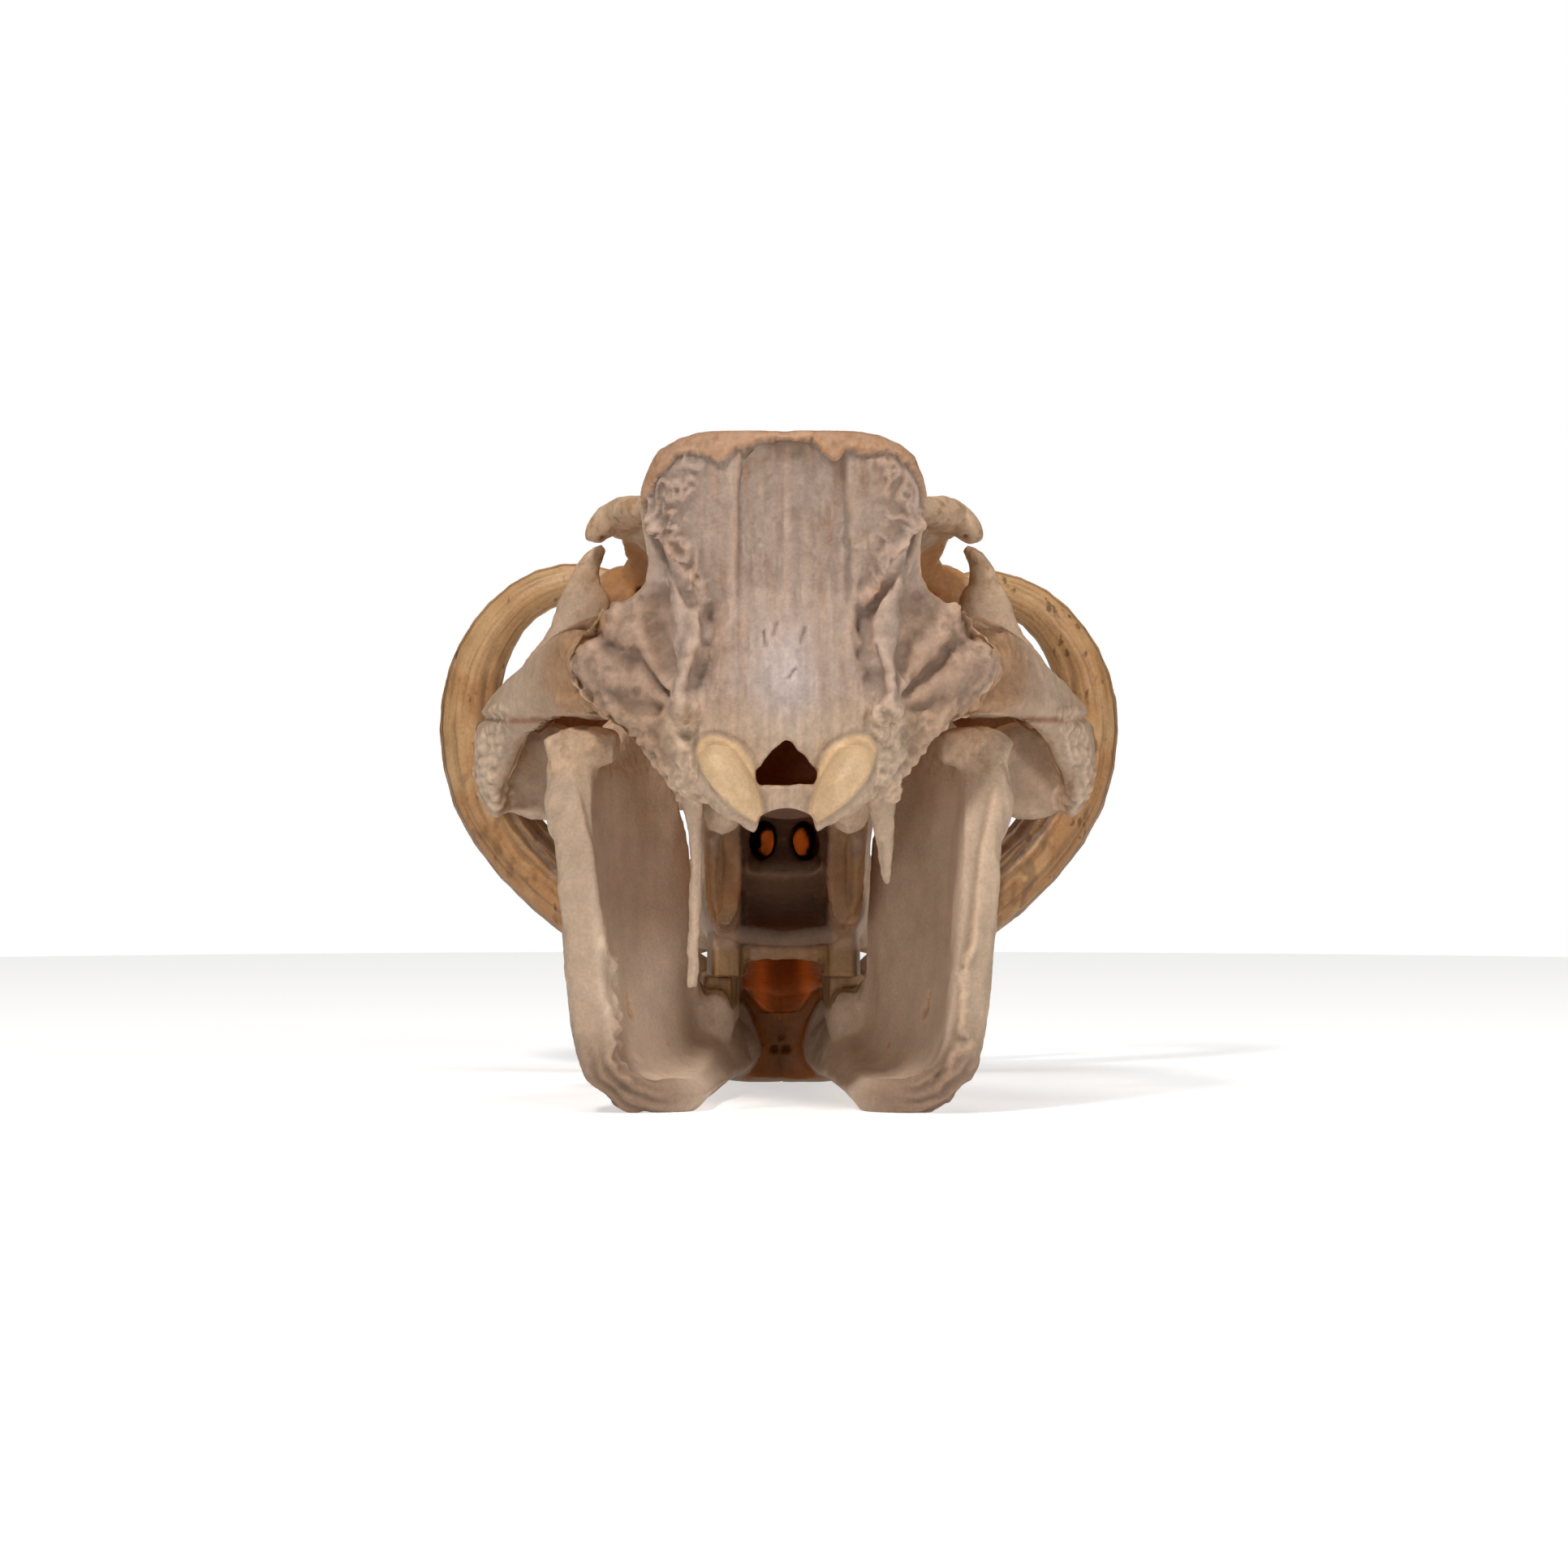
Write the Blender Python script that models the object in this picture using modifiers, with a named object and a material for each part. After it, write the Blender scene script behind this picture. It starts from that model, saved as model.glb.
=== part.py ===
"""Skull of an adult male common warthog with its lower jaw and tusks, life size.

Sizes are in millimetres until a mesh is made. The skull is laid out with X to the right, Y from the
occiput (0) towards the snout, and Z up from the floor that the lower jaw rests on. At the end
everything is moved along Y so that the origin lies under the middle of the skull.
"""
import math

import bmesh
import bpy
import numpy as np
from mathutils import Euler, Matrix, Vector

MM = 0.001
SIDES = (-1, 1)

# Main sizes
SKULL_HEIGHT = 212.0
CREST_HALF_WIDTH = 44.5
CREST_SHIFT = -0.8
WING_HALF_WIDTH = 65.5
OCCLUSAL_PLANE = 39.0
TOOTH_GAP = 0.6
TOUCH_GAP = 0.3
FLOOR_SINK = 0.5

# The lower jaw lies a little askew: it is turned about a point under the symphysis.
JAW_TURN_DEGREES = -0.85
JAW_TURN_Y = 195.0

# Fineness of the finished bones
BONE_VOXEL = 1.3
CRANIUM_TRIANGLES = 7000
MANDIBLE_TRIANGLES = 3600

# Braincase and snout: y, underside, roof, half width, squareness
CORE = (
    (9, 97, 199, 26, 2.6),
    (20, 93, 202, 30, 2.6),
    (45, 92, 198, 33, 2.4),
    (70, 92, 191, 33, 2.6),
    (95, 86, 184, 33, 3.0),
    (120, 66, 175, 31, 3.0),
    (150, 58, 162, 30, 3.4),
    (185, 54, 146, 30, 3.4),
    (220, 50, 131, 30.5, 3.2),
    (255, 46, 116, 31, 3.0),
    (290, 42.5, 102, 29, 2.8),
    (322, 40.0, 90, 25.5, 2.6),
    (335, 37.4, 87, 24, 2.5),
    (345, 36.6, 85, 21.5, 2.4),
)

# Roof of the skull, parietal plateau to nasals: y, underside, top, half width, squareness
ROOF = (
    (-4, 199, 210, 38, 3.0),
    (12, 196, 209, 33, 3.0),
    (32, 193, 205, 26, 3.0),
    (52, 189, 200, 27, 3.0),
    (70, 184, 195, 38, 3.0),
    (88, 178, 189, 47, 3.0),
    (106, 171, 184, 48, 3.0),
    (126, 160, 177, 45, 3.0),
    (152, 136, 166, 41, 3.0),
    (186, 110, 149, 37, 3.0),
    (222, 98, 133, 33, 3.0),
    (262, 90, 116.5, 28, 3.0),
    (302, 84, 101, 22, 2.6),
    (342, 78, 87.5, 15, 2.4),
    (352, 79, 84, 7, 2.2),
)

# Nuchal shield and the wings under it: z, half width, rear face, front face, how far the edge bends forward
OCCIPUT = (
    (SKULL_HEIGHT, 19, -9, -3, 1),
    (211, 29, -11, 0, 2),
    (207, 37.5, -12.5, 3, 3),
    (201, 42, -12, 5, 3),
    (192, CREST_HALF_WIDTH, -9, 7, 3),
    (182, 43.5, -4, 9, 3),
    (172, 42.5, 1, 11, 3),
    (164, 44.5, 4, 13, 4),
    (159, 52, 5, 14, 6),
    (153, 58.5, 5, 14, 8),
    (146, 64, 5, 14, 10),
    (138, WING_HALF_WIDTH, 5, 14, 11),
    (131, 61.5, 4, 14, 11),
    (124, 53, 3, 14, 10),
    (117, 46, 2, 14, 9),
    (110, 40, 1, 14, 8),
    (103, 34, 1, 14, 6),
    (97, 26, 3, 12, 4),
)

OCCIPUT_SQUARENESS = 3.2

# Swept pieces: x, y, z, half width across, half height
ARCH = (
    (46, 14, 139, 7, 15),
    (59, 27, 140.5, 6, 16),
    (71, 44, 137.5, 5, 13.5),
    (80.5, 64, 131.5, 5, 11),
    (88.5, 82, 124.5, 6, 11),
    (95, 98, 112, 5, 17),
    (89, 116, 112, 6.5, 20),
    (76, 136, 116, 6.5, 23),
    (58, 156, 120.5, 9, 23),
    (36, 182, 116, 10, 19),
)
ORBIT_RIM = (
    (87, 88, 130, 5, 5),
    (84, 103, 132.5, 7, 6),
    (77, 120, 136.5, 8, 8),
    (64, 138, 143, 9, 9),
    (48, 154, 149, 9, 9),
    (34, 166, 150, 8, 8),
)
SPUR = (
    (85, 82, 124, 5, 8),
    (74.5, 86, 137, 5, 10.5),
    (67, 90, 150, 4.2, 9.5),
    (64.6, 91, 161, 3.6, 8.8),
    (64.8, 92, 167.3, 3.2, 5.4),
    (63.6, 92.5, 172.6, 2.8, 3.9),
    (61.4, 93, 176.4, 2.4, 2.8),
    (59.2, 93, 179, 1.4, 1.5),
)
BROW = (
    (38, 60, 190, 5, 4),
    (48, 75, 190, 7, 5),
    (52, 88, 189, 7.5, 6.2),
    (50, 104, 185.5, 7, 6),
    (46, 124, 178, 6, 5),
    (40, 142, 168.5, 5, 4),
)
ORBIT_FRONT = (
    (42, 117, 184, 6.5, 6),
    (44.6, 128, 175, 6.8, 7),
    (48, 136, 165, 10, 8),
    (50, 142, 155, 12, 10),
)
BROW_HOOK = (
    (47, 86, 189.6, 5.8, 5.4),
    (53, 85.5, 189.2, 5.4, 5.4),
    (57.8, 85, 186.4, 4.6, 4.7),
    (60.6, 85, 183, 3.6, 3.5),
    (61.3, 85, 180.6, 2.0, 2.0),
)
OCCIPITAL_RIDGE = (
    (38, 6, 178, 4, 4),
    (34.5, 8, 163, 5.5, 4.5),
    (31.5, 8.5, 150, 6.5, 5),
    (32, 7.5, 137, 6.5, 5),
    (31.5, 6.5, 124, 6, 5),
)
OCCIPITAL_CONDYLE = (
    (22.6, 0, 112, 6.5, 5.8),
    (20.4, -3, 106.5, 9.5, 7.4),
    (16.4, -4, 100, 10, 7.4),
    (10.6, -1, 95.6, 7, 4.8),
)
PTERYGOID = (
    (23, 66, 90, 3.2, 6),
    (23, 84, 80, 2.8, 11),
    (21.5, 100, 72, 2.6, 15),
    (21, 114, 68, 4.5, 15),
    (21, 128, 64, 7, 12),
)
TOOTH_RIDGE_UPPER = (
    (19.5, 112, 64, 5.6, 11),
    (19.8, 132, 62, 6.6, 12),
    (20.5, 154, 60, 8.2, 12),
    (20, 192, 58, 8.5, 10),
    (20, 216, 57, 6, 7),
)
CANINE_FLARE_UPPER = (
    (18, 240, 58, 19, 12),
    (36, 247, 54.5, 16.5, 14.5),
    (54, 254, 53.5, 16.5, 17.6),
)
# The paroccipital process is whole on the left and broken short on the right.
PAROCCIPITAL_LEFT = (
    (-28, 16, 112, 7, 7),
    (-28.5, 17, 102, 3.6, 4),
    (-28.2, 19, 88, 1.9, 2.4),
    (-28.2, 22, 70, 1.6, 1.8),
    (-28.6, 24, 50, 1.5, 1.6),
    (-29.2, 25, 39.5, 1.9, 1.7),
)
PAROCCIPITAL_RIGHT = (
    (29, 16, 112, 7, 7),
    (29, 17, 103, 5.2, 4.5),
    (29.8, 19, 92, 3, 3),
    (30.8, 21, 80, 2.2, 2.2),
    (31.4, 22, 71, 1.2, 1.2),
)

# Hollows of the cranium, swept in the same way
OCCIPUT_PANEL = (
    (0, -15.5, 208, 11, 4),
    (0, -13, 197, 14.5, 5.5),
    (0, -7.5, 183, 15, 5.5),
    (0, -1.4, 168, 14, 5),
    (0, -2.6, 153, 10, 4),
    (0, -5, 142, 6, 3),
)
# The brain's opening is a pointed arch: y, its foot, its height, its half width at the foot
BRAIN_OPENING = (
    (-20, 103.2, 14.6, 10.4),
    (4, 103.2, 14.6, 10.2),
    (26, 102, 20, 12),
    (52, 104, 26, 14),
)
ARCH_STEPS = 6
ARCH_FULLNESS = 1.6
CHOANA = (
    (0, 44, 84, 9, 7),
    (0, 66, 85, 13, 9),
    (0, 92, 82, 13.5, 12),
    (0, 112, 74, 11, 12),
)
NASAL_CHANNEL = (
    (6.8, 84, 84, 4.6, 7),
    (7.2, 150, 84, 4.8, 7),
    (7.4, 240, 79, 4.8, 7),
    (8.4, 322, 65, 5, 7),
)
NASAL_APERTURE = (
    (0, 292, 66, 12, 8),
    (0, 318, 62.5, 17, 12),
    (0, 356, 61, 18.5, 14),
)

# Paired swellings and dents of the cranium: centre, radii, turns about Y and Z in degrees
CRANIUM_SWELLS = {
    "cheek_boss": ((95.2, 95, 108), (5.4, 12, 17), (8, 0)),
    "cheek_plate": ((78.5, 97, 107), (19.5, 6, 16.5), (0, 0)),
    "jaw_socket": ((60, 44, 130), (16, 15, 6.5), (0, 0)),
    "lacrimal": ((52, 137, 159), (14.5, 12, 16), (0, 0)),
    "orbit_slope": ((44, 154, 143.5), (13, 24, 14), (0, 14)),
    "bulla": ((20, 42, 95), (6.5, 13, 8), (0, 0)),
    "face_root": ((33, 168, 120), (14, 34, 27), (0, 0)),
    "tusk_root": ((27, 230, 60), (13, 36, 16), (0, -8)),
}
CRANIUM_DENTS = {
    "orbit": ((57, 107, 166), (20, 19, 19), (0, -12)),
    "wing_hollow": ((49, 4, 133), (12, 10, 19), (14, 0)),
    "shield_hollow": ((28, -11, 180), (9, 5, 20), (0, 0)),
}
JAW_SWELLS = {
    "tusk_root": ((23, 260, 25), (12, 28, 11), (0, -10)),
    "web": ((20, 182, 12.6), (11, 26, 11), (0, 22)),
    "behind_teeth": ((21.5, 135, 25.5), (6.8, 10, 10.5), (0, 0)),
}
OCCIPITAL_SWELL = ((0, 12, 130), (34, 13, 44))
NOSE_NOTCH = ((0, 356, 67.5), (40, 38, 12))
CONDYLE_NOTCH = ((0, -2, 88), (8.8, 26, 7.8))

# Tusks: x, y, z, half width fore and aft, half width in the plane of the curl
UPPER_TUSK = (
    (36, 247, 51, 9, 9.5),
    (50, 252, 52.5, 12, 13.5),
    (65.8, 258, 58.8, 12.8, 15),
    (89.4, 265, 76.6, 12.4, 13),
    (103.6, 269, 98, 12, 12.8),
    (108.8, 271, 121.0, 11, 11.8),
    (107.4, 271, 138.7, 10, 10.4),
    (101.0, 270, 153.4, 9, 9.2),
    (90.4, 268, 165.5, 8, 8.0),
    (75, 266, 172.0, 7, 7.4),
    (60, 264, 171.4, 5.2, 5.6),
    (47, 262, 167.5, 1.6, 1.6),
)
LOWER_TUSK = (
    (31, 276, 26, 6.5, 6.5),
    (40, 284, 36, 7.5, 7.5),
    (52, 290, 50, 7.2, 7.2),
    (63, 293, 68, 6.2, 6.2),
    (70, 292, 88, 4.6, 4.6),
    (72.5, 288, 107, 1.1, 1.1),
)

# The left brow's hook reaches further out than the right one.
HOOK_REACH = {-1: 0.9, 1: 0.1}

CURL_START = 120.0
RIGHT_CURL = 0.95

# Both upper tusks stand a little to the left.
UPPER_TUSK_SHIFT = -0.8

# Lower jaw, one side: y, then x z of the four points that bend a section, then half thickness
RAMUS = (
    (25, 63, 64, 60, 50, 60, 32, 56, 20, 4.0),
    (29, 63.5, 88, 59.5, 50, 62, 5, 44, 7.5, 5.3),
    (37, 64, 104, 57, 42, 65.5, -7, 30, 5.2, 5.6),
    (48, 63, 110, 57, 42, 64, -5, 26.5, 5.2, 5.3),
    (62, 59, 108, 55, 42, 60, -2.4, 25.5, 5.4, 5.1),
    (75, 53, 120, 52.5, 44, 56, 0, 25, 5.5, 5.1),
    (87, 47, 123, 48.5, 46, 52, 2, 24.5, 5.7, 5.4),
    (98, 39.2, 98, 44, 42, 48, 3.6, 23.5, 6.6, 6.6),
    (108, 36.3, 78, 40, 38, 45, 6, 23, 7.6, 7.7),
    (121, 35.6, 42, 39, 30, 42, 10, 22.5, 9.0, 8.6),
    (134, 31, 27.5, 36, 24, 37, 15, 21.5, 10.3, 10.2),
    (150, 26.5, 22.5, 32, 20, 33, 15, 20.5, 11.0, 11),
    (172, 24, 20, 28, 17, 29, 15, 19.5, 11.4, 11.2),
    (197, 21.5, 18, 24, 16, 26, 14, 24.5, 11.2, 11.2),
    (228, 18, 19, 20, 17, 21, 16, 20, 14, 10),
)
RIBBON_STEPS = 9
JAW_CONDYLE = (
    (51, 44, 114.5, 6, 5.2),
    (57, 45, 115, 7, 6.4),
    (65, 46, 114.6, 7.2, 6.8),
    (72.5, 46, 111.5, 6, 6),
)
CONDYLE_NECK = (
    (64, 45, 113, 8, 7),
    (66, 41, 102, 7.5, 6.5),
    (65, 35, 88, 5.5, 5.5),
)
# Symphysis: y, underside, top, half width, squareness
SYMPHYSIS = (
    (188, 2, 27, 16, 3.4),
    (195, -FLOOR_SINK, 28.5, 28, 3.2),
    (216, -FLOOR_SINK, 29.5, 32, 3.0),
    (240, 1.5, 31, 32, 2.8),
    (262, 6, 33.5, 33, 2.8),
    (285, 13, 36, 33, 2.6),
    (303, 20, 37.5, 29, 2.6),
    (319, 27, 37.5, 22, 2.6),
)
CANINE_FLARE_LOWER = (
    (22, 268, 23, 9, 9),
    (34, 278, 30, 11.5, 11.5),
    (42.5, 285.5, 38, 10.2, 10.2),
)
LINGUAL_TROUGH = (
    (0, 176, 44, 10, 16),
    (0, 206, 42.5, 12.5, 15.5),
    (0, 250, 45.5, 14, 15),
    (0, 306, 53, 15, 14),
)

# Cheek teeth: the last molar is by far the longest. Length along the jaw, half width, number of columns.
CHEEK_TEETH = (
    (50.0, 6.4, 9),
    (17.0, 5.8, 3),
    (11.0, 5.0, 2),
)
UPPER_ROW_START = 121.0
UPPER_ROW_X = (19.3, 18.3)
LOWER_ROW_START = 133.0
LOWER_ROW_X = (21.5, 18.5)
TOOTH_SPACING = 1.0
TOOTH_ROOT = 15.0
ROW_LENGTH = sum(length for length, half_width, columns in CHEEK_TEETH)
POINTS_PER_COLUMN = 4
COLUMN_DEPTH = 0.14
REAR_TAPER = 0.30
FRONT_TAPER = 0.16

# Incisors: x, y, z, half width across, half height. The lower ones fan out from the middle.
UPPER_INCISOR = (
    (9, 337, 47, 4, 4),
    (8.5, 341.5, 40.5, 3.6, 3.6),
    (6.8, 344.5, 34.5, 2.0, 2.4),
)
LOWER_INCISOR = (
    (1.0, 306, 28, 2.6, 3.2),
    (0.97, 320, 33.5, 2.5, 2.8),
    (0.94, 328.5, 37.8, 2.0, 1.2),
)
LOWER_INCISORS_PER_SIDE = 3
LOWER_INCISOR_FIRST_X = 3.6
LOWER_INCISOR_STEP = 6.2
LOWER_INCISOR_SETBACK = 1.6

# The block under the floor that cuts the flats
FLOOR_BLOCK = ((-150, -60, -30), (150, 400, 0))

BONE_COLOUR = (0.78, 0.66, 0.55)
IVORY_COLOUR = (0.62, 0.42, 0.23)


def clear_scene():
    """Remove the objects of the opening scene."""
    for old in list(bpy.data.objects):
        bpy.data.objects.remove(old, do_unlink=True)


def new_group(name):
    """A collection linked to the scene."""
    group = bpy.data.collections.new(name)
    bpy.context.scene.collection.children.link(group)
    return group


def add_mesh(name, work, group):
    """Turn a bmesh in millimetres into an object in metres with its faces pointing out."""
    bmesh.ops.recalc_face_normals(work, faces=work.faces)
    bmesh.ops.scale(work, vec=Vector((MM, MM, MM)), verts=work.verts)
    mesh = bpy.data.meshes.new(name)
    work.to_mesh(mesh)
    work.free()
    made = bpy.data.objects.new(name, mesh)
    group.objects.link(made)
    return made


def smooth_stations(stations, steps):
    """Read stations off a smooth curve through the given ones."""
    rows = np.array(stations, dtype=float)
    padded = np.vstack((2 * rows[0] - rows[1], rows, 2 * rows[-1] - rows[-2]))
    made = []
    for i in range(1, len(rows)):
        a, b, c, d = padded[i - 1:i + 3]
        for step in range(steps):
            t = step / steps
            made.append(0.5 * (2 * b + (c - a) * t + (2 * a - 5 * b + 4 * c - d) * t ** 2
                               + (3 * b - a - 3 * c + d) * t ** 3))
    made.append(rows[-1])
    return made


def loft(name, rings, group):
    """A closed skin over rings of points, with a face over each end."""
    work = bmesh.new()
    made = [[work.verts.new(point) for point in ring] for ring in rings]
    count = len(made[0])
    for first, second in zip(made, made[1:]):
        for i in range(count):
            j = (i + 1) % count
            work.faces.new((first[i], first[j], second[j], second[i]))
    work.faces.new(made[0])
    work.faces.new(made[-1])
    return add_mesh(name, work, group)


def oval(count, power):
    """Points of a rounded rectangle, from -1 to 1 both ways."""
    points = []
    for i in range(count):
        angle = 2 * math.pi * i / count
        c, s = math.cos(angle), math.sin(angle)
        points.append((math.copysign(abs(c) ** (2 / power), c), math.copysign(abs(s) ** (2 / power), s)))
    return points


def upright_loft(name, stations, group, steps=3, count=28):
    """A skin over upright sections set along Y."""
    rings = []
    for y, low, high, half_width, power in smooth_stations(stations, steps):
        middle, half = (low + high) / 2, (high - low) / 2
        rings.append([(half_width * a, y, middle + half * b) for a, b in oval(count, power)])
    return loft(name, rings, group)


def sweep(name, stations, group, side=1, steps=4, count=14, across=None):
    """A tapering bar through stations. Its first half width lies along the vector across."""
    rows = smooth_stations(stations, steps)
    centres = [Vector(row[:3]) for row in rows]
    rings = []
    for i, row in enumerate(rows):
        ahead = centres[min(i + 1, len(rows) - 1)] - centres[max(i - 1, 0)]
        ahead.normalize()
        if across is None:
            level = ahead.cross(Vector((0, 0, 1)))
        else:
            level = Vector(across) - ahead * ahead.dot(Vector(across))
        level.normalize()
        up = level.cross(ahead)
        ring = [centres[i] + level * row[3] * a + up * row[4] * b for a, b in oval(count, 2)]
        rings.append([(side * p.x, p.y, p.z) for p in ring])
    return loft(name, rings, group)


def ellipsoid(name, centre, radii, group, turn=(0, 0, 0)):
    """A sphere drawn out to three radii and turned."""
    work = bmesh.new()
    bmesh.ops.create_uvsphere(work, u_segments=20, v_segments=12, radius=1.0)
    place = Matrix.Translation(Vector(centre)) @ Euler([math.radians(a) for a in turn]).to_matrix().to_4x4()
    bmesh.ops.transform(work, matrix=place @ Matrix.Diagonal((*radii, 1)), verts=work.verts)
    return add_mesh(name, work, group)


def paired_ellipsoids(table, group):
    """Each ellipsoid of a table on both sides of the skull."""
    for name, (centre, radii, (tilt, swing)) in table.items():
        for side in SIDES:
            place = (side * centre[0], centre[1], centre[2])
            ellipsoid(f"{name}_{side}", place, radii, group, (0, side * tilt, side * swing))


def block(name, low, high, group):
    """A box between two corners."""
    work = bmesh.new()
    bmesh.ops.create_cube(work, size=1.0)
    low, high = Vector(low), Vector(high)
    place = Matrix.Translation((low + high) / 2) @ Matrix.Diagonal((*(high - low), 1))
    bmesh.ops.transform(work, matrix=place, verts=work.verts)
    return add_mesh(name, work, group)


def bone_material(name, colour, roughness):
    """A plain finish of one colour."""
    made = bpy.data.materials.new(name)
    made.use_nodes = True
    shader = made.node_tree.nodes["Principled BSDF"]
    shader.inputs["Base Color"].default_value = (*colour, 1)
    shader.inputs["Roughness"].default_value = roughness
    shader.inputs["Metallic"].default_value = 0.0
    return made


def apply_modifiers(made):
    """Replace an object's mesh by what its modifiers make of it."""
    graph = bpy.context.evaluated_depsgraph_get()
    mesh = bpy.data.meshes.new_from_object(made.evaluated_get(graph))
    made.modifiers.clear()
    made.data = mesh


def keep_largest(made):
    """Drop every surface but the one with the most room inside."""
    work = bmesh.new()
    work.from_mesh(made.data)
    left = set(work.verts)
    bodies = []
    while left:
        stack = [left.pop()]
        body = set(stack)
        while stack:
            for edge in stack.pop().link_edges:
                for vert in edge.verts:
                    if vert in left:
                        left.discard(vert)
                        body.add(vert)
                        stack.append(vert)
        bodies.append(body)
    spans = [np.ptp([vert.co[:] for vert in body], axis=0).prod() for body in bodies]
    keep = bodies[int(np.argmax(spans))]
    bmesh.ops.delete(work, geom=[vert for vert in work.verts if vert not in keep], context="VERTS")
    work.to_mesh(made.data)
    work.free()


def combine(made, group, operation):
    """Join an object with all that a collection holds, or cut it by them, and empty the collection."""
    joint = made.modifiers.new(operation, "BOOLEAN")
    joint.operand_type = "COLLECTION"
    joint.collection = group
    joint.operation = operation
    joint.solver = "EXACT"
    bpy.context.view_layer.update()
    apply_modifiers(made)
    for used in list(group.objects):
        bpy.data.objects.remove(used, do_unlink=True)
    bpy.data.collections.remove(group)
    keep_largest(made)


def soften(made, triangles):
    """Melt the joined pieces into one bony surface of about so many triangles."""
    melt = made.modifiers.new("melt", "REMESH")
    melt.mode = "VOXEL"
    melt.voxel_size = BONE_VOXEL * MM
    relax = made.modifiers.new("relax", "SMOOTH")
    relax.factor = 0.5
    relax.iterations = 4
    apply_modifiers(made)
    keep_largest(made)
    thin = made.modifiers.new("thin", "DECIMATE")
    thin.ratio = triangles / (2 * len(made.data.polygons))
    apply_modifiers(made)


def cheek_tooth(name, start, length, half_width, columns, middle_x, span, group, side):
    """A high crowned tooth whose sides bulge in columns."""
    count = columns * POINTS_PER_COLUMN
    outline = []
    for i in range(count + 1):
        t = i / count
        bulge = abs(math.sin(math.pi * columns * t))
        taper = 1 - REAR_TAPER * max(0.0, 1 - 2 * t) ** 3 - FRONT_TAPER * t ** 4
        outline.append((half_width * taper * (1 - COLUMN_DEPTH * (1 - bulge)), start + length * t))
    ring = [(middle_x + w, y) for w, y in outline] + [(middle_x - w, y) for w, y in reversed(outline)]
    rings = [[(side * x, y, z) for x, y in ring] for z in span]
    return loft(name, rings, group)


def tooth_row(row_name, start, row_x, low, high, group):
    """The cheek teeth of both sides of one jaw."""
    for side in SIDES:
        y = start
        for number, (length, half_width, columns) in enumerate(CHEEK_TEETH):
            x = row_x[0] + (row_x[1] - row_x[0]) * (y + length / 2 - start) / ROW_LENGTH
            name = f"{row_name}_{number}_{side}"
            cheek_tooth(name, y, length, half_width, columns, x, (low, high), group, side)
            y += length - TOOTH_SPACING


def occiput_piece(group):
    """The nuchal shield with its wings, as level sections stacked up its height."""
    rings = []
    outline = oval(36, OCCIPUT_SQUARENESS)
    for z, half_width, rear, front, bend in smooth_stations(OCCIPUT, 2):
        middle, half = (rear + front) / 2, (front - rear) / 2
        ring = [(half_width * a + CREST_SHIFT, middle + half * b + bend * a * a, z) for a, b in outline]
        rings.append(ring)
    return loft("occiput", rings, group)


def cranium_pieces(group):
    """All that is joined to the braincase, in pairs where the skull has pairs."""
    upright_loft("roof", ROOF, group)
    occiput_piece(group)
    for side in SIDES:
        tag = "right" if side > 0 else "left"
        sweep(f"arch_{tag}", ARCH, group, side)
        sweep(f"orbit_rim_{tag}", ORBIT_RIM, group, side)
        sweep(f"brow_{tag}", BROW, group, side)
        sweep(f"orbit_front_{tag}", ORBIT_FRONT, group, side, across=(1, 0, 0))
        sweep(f"ridge_{tag}", OCCIPITAL_RIDGE, group, side, across=(0, 1, 0))
        sweep(f"occipital_condyle_{tag}", OCCIPITAL_CONDYLE, group, side, across=(0, 1, 0))
        sweep(f"pterygoid_{tag}", PTERYGOID, group, side)
        sweep(f"tooth_ridge_{tag}", TOOTH_RIDGE_UPPER, group, side)
        sweep(f"canine_flare_{tag}", CANINE_FLARE_UPPER, group, side, across=(0, 1, 0))
    paired_ellipsoids(CRANIUM_SWELLS, group)
    ellipsoid("occipital_swell", *OCCIPITAL_SWELL, group)
    sweep("paroccipital_left", PAROCCIPITAL_LEFT, group, across=(1, 0, 0))
    sweep("paroccipital_right", PAROCCIPITAL_RIGHT, group, across=(1, 0, 0))


def thin_points(group):
    """The slender spurs behind the eyes and the brow hooks above them."""
    for side in SIDES:
        tag = "right" if side > 0 else "left"
        sweep(f"spur_{tag}", SPUR, group, side, steps=3, count=12, across=(0, 1, 0))
        hook = [(x + HOOK_REACH[side], *rest) for x, *rest in BROW_HOOK]
        sweep(f"brow_hook_{tag}", hook, group, side, steps=3, count=12, across=(0, 1, 0))


def brain_opening(group):
    """The cutter of the large opening in the occiput, as upright pointed arches set along Y."""
    heights = [i / ARCH_STEPS for i in range(ARCH_STEPS + 1)]
    rings = []
    for y, foot, height, half_width in BRAIN_OPENING:
        right = [(half_width * (1 - t ** ARCH_FULLNESS), y, foot + height * t) for t in heights]
        left = [(-x, y, z) for x, y, z in reversed(right[:-1])]
        rings.append(right + left)
    return loft("brain_opening", rings, group)


def cranium_hollows(group):
    """The openings of the cranium and the hollows of its surface."""
    sweep("occiput_panel", OCCIPUT_PANEL, group, across=(1, 0, 0))
    brain_opening(group)
    sweep("choana", CHOANA, group)
    sweep("nasal_aperture", NASAL_APERTURE, group)
    ellipsoid("nose_notch", *NOSE_NOTCH, group)
    ellipsoid("condyle_notch", *CONDYLE_NOTCH, group)
    paired_ellipsoids(CRANIUM_DENTS, group)
    for side in SIDES:
        tag = "right" if side > 0 else "left"
        sweep(f"nasal_channel_{tag}", NASAL_CHANNEL, group, side)


def upper_incisors(group):
    """One stout incisor on each side of the snout's tip."""
    for side in SIDES:
        sweep(f"upper_incisor_{side}", UPPER_INCISOR, group, side, steps=2, count=10, across=(1, 0, 0))


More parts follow.
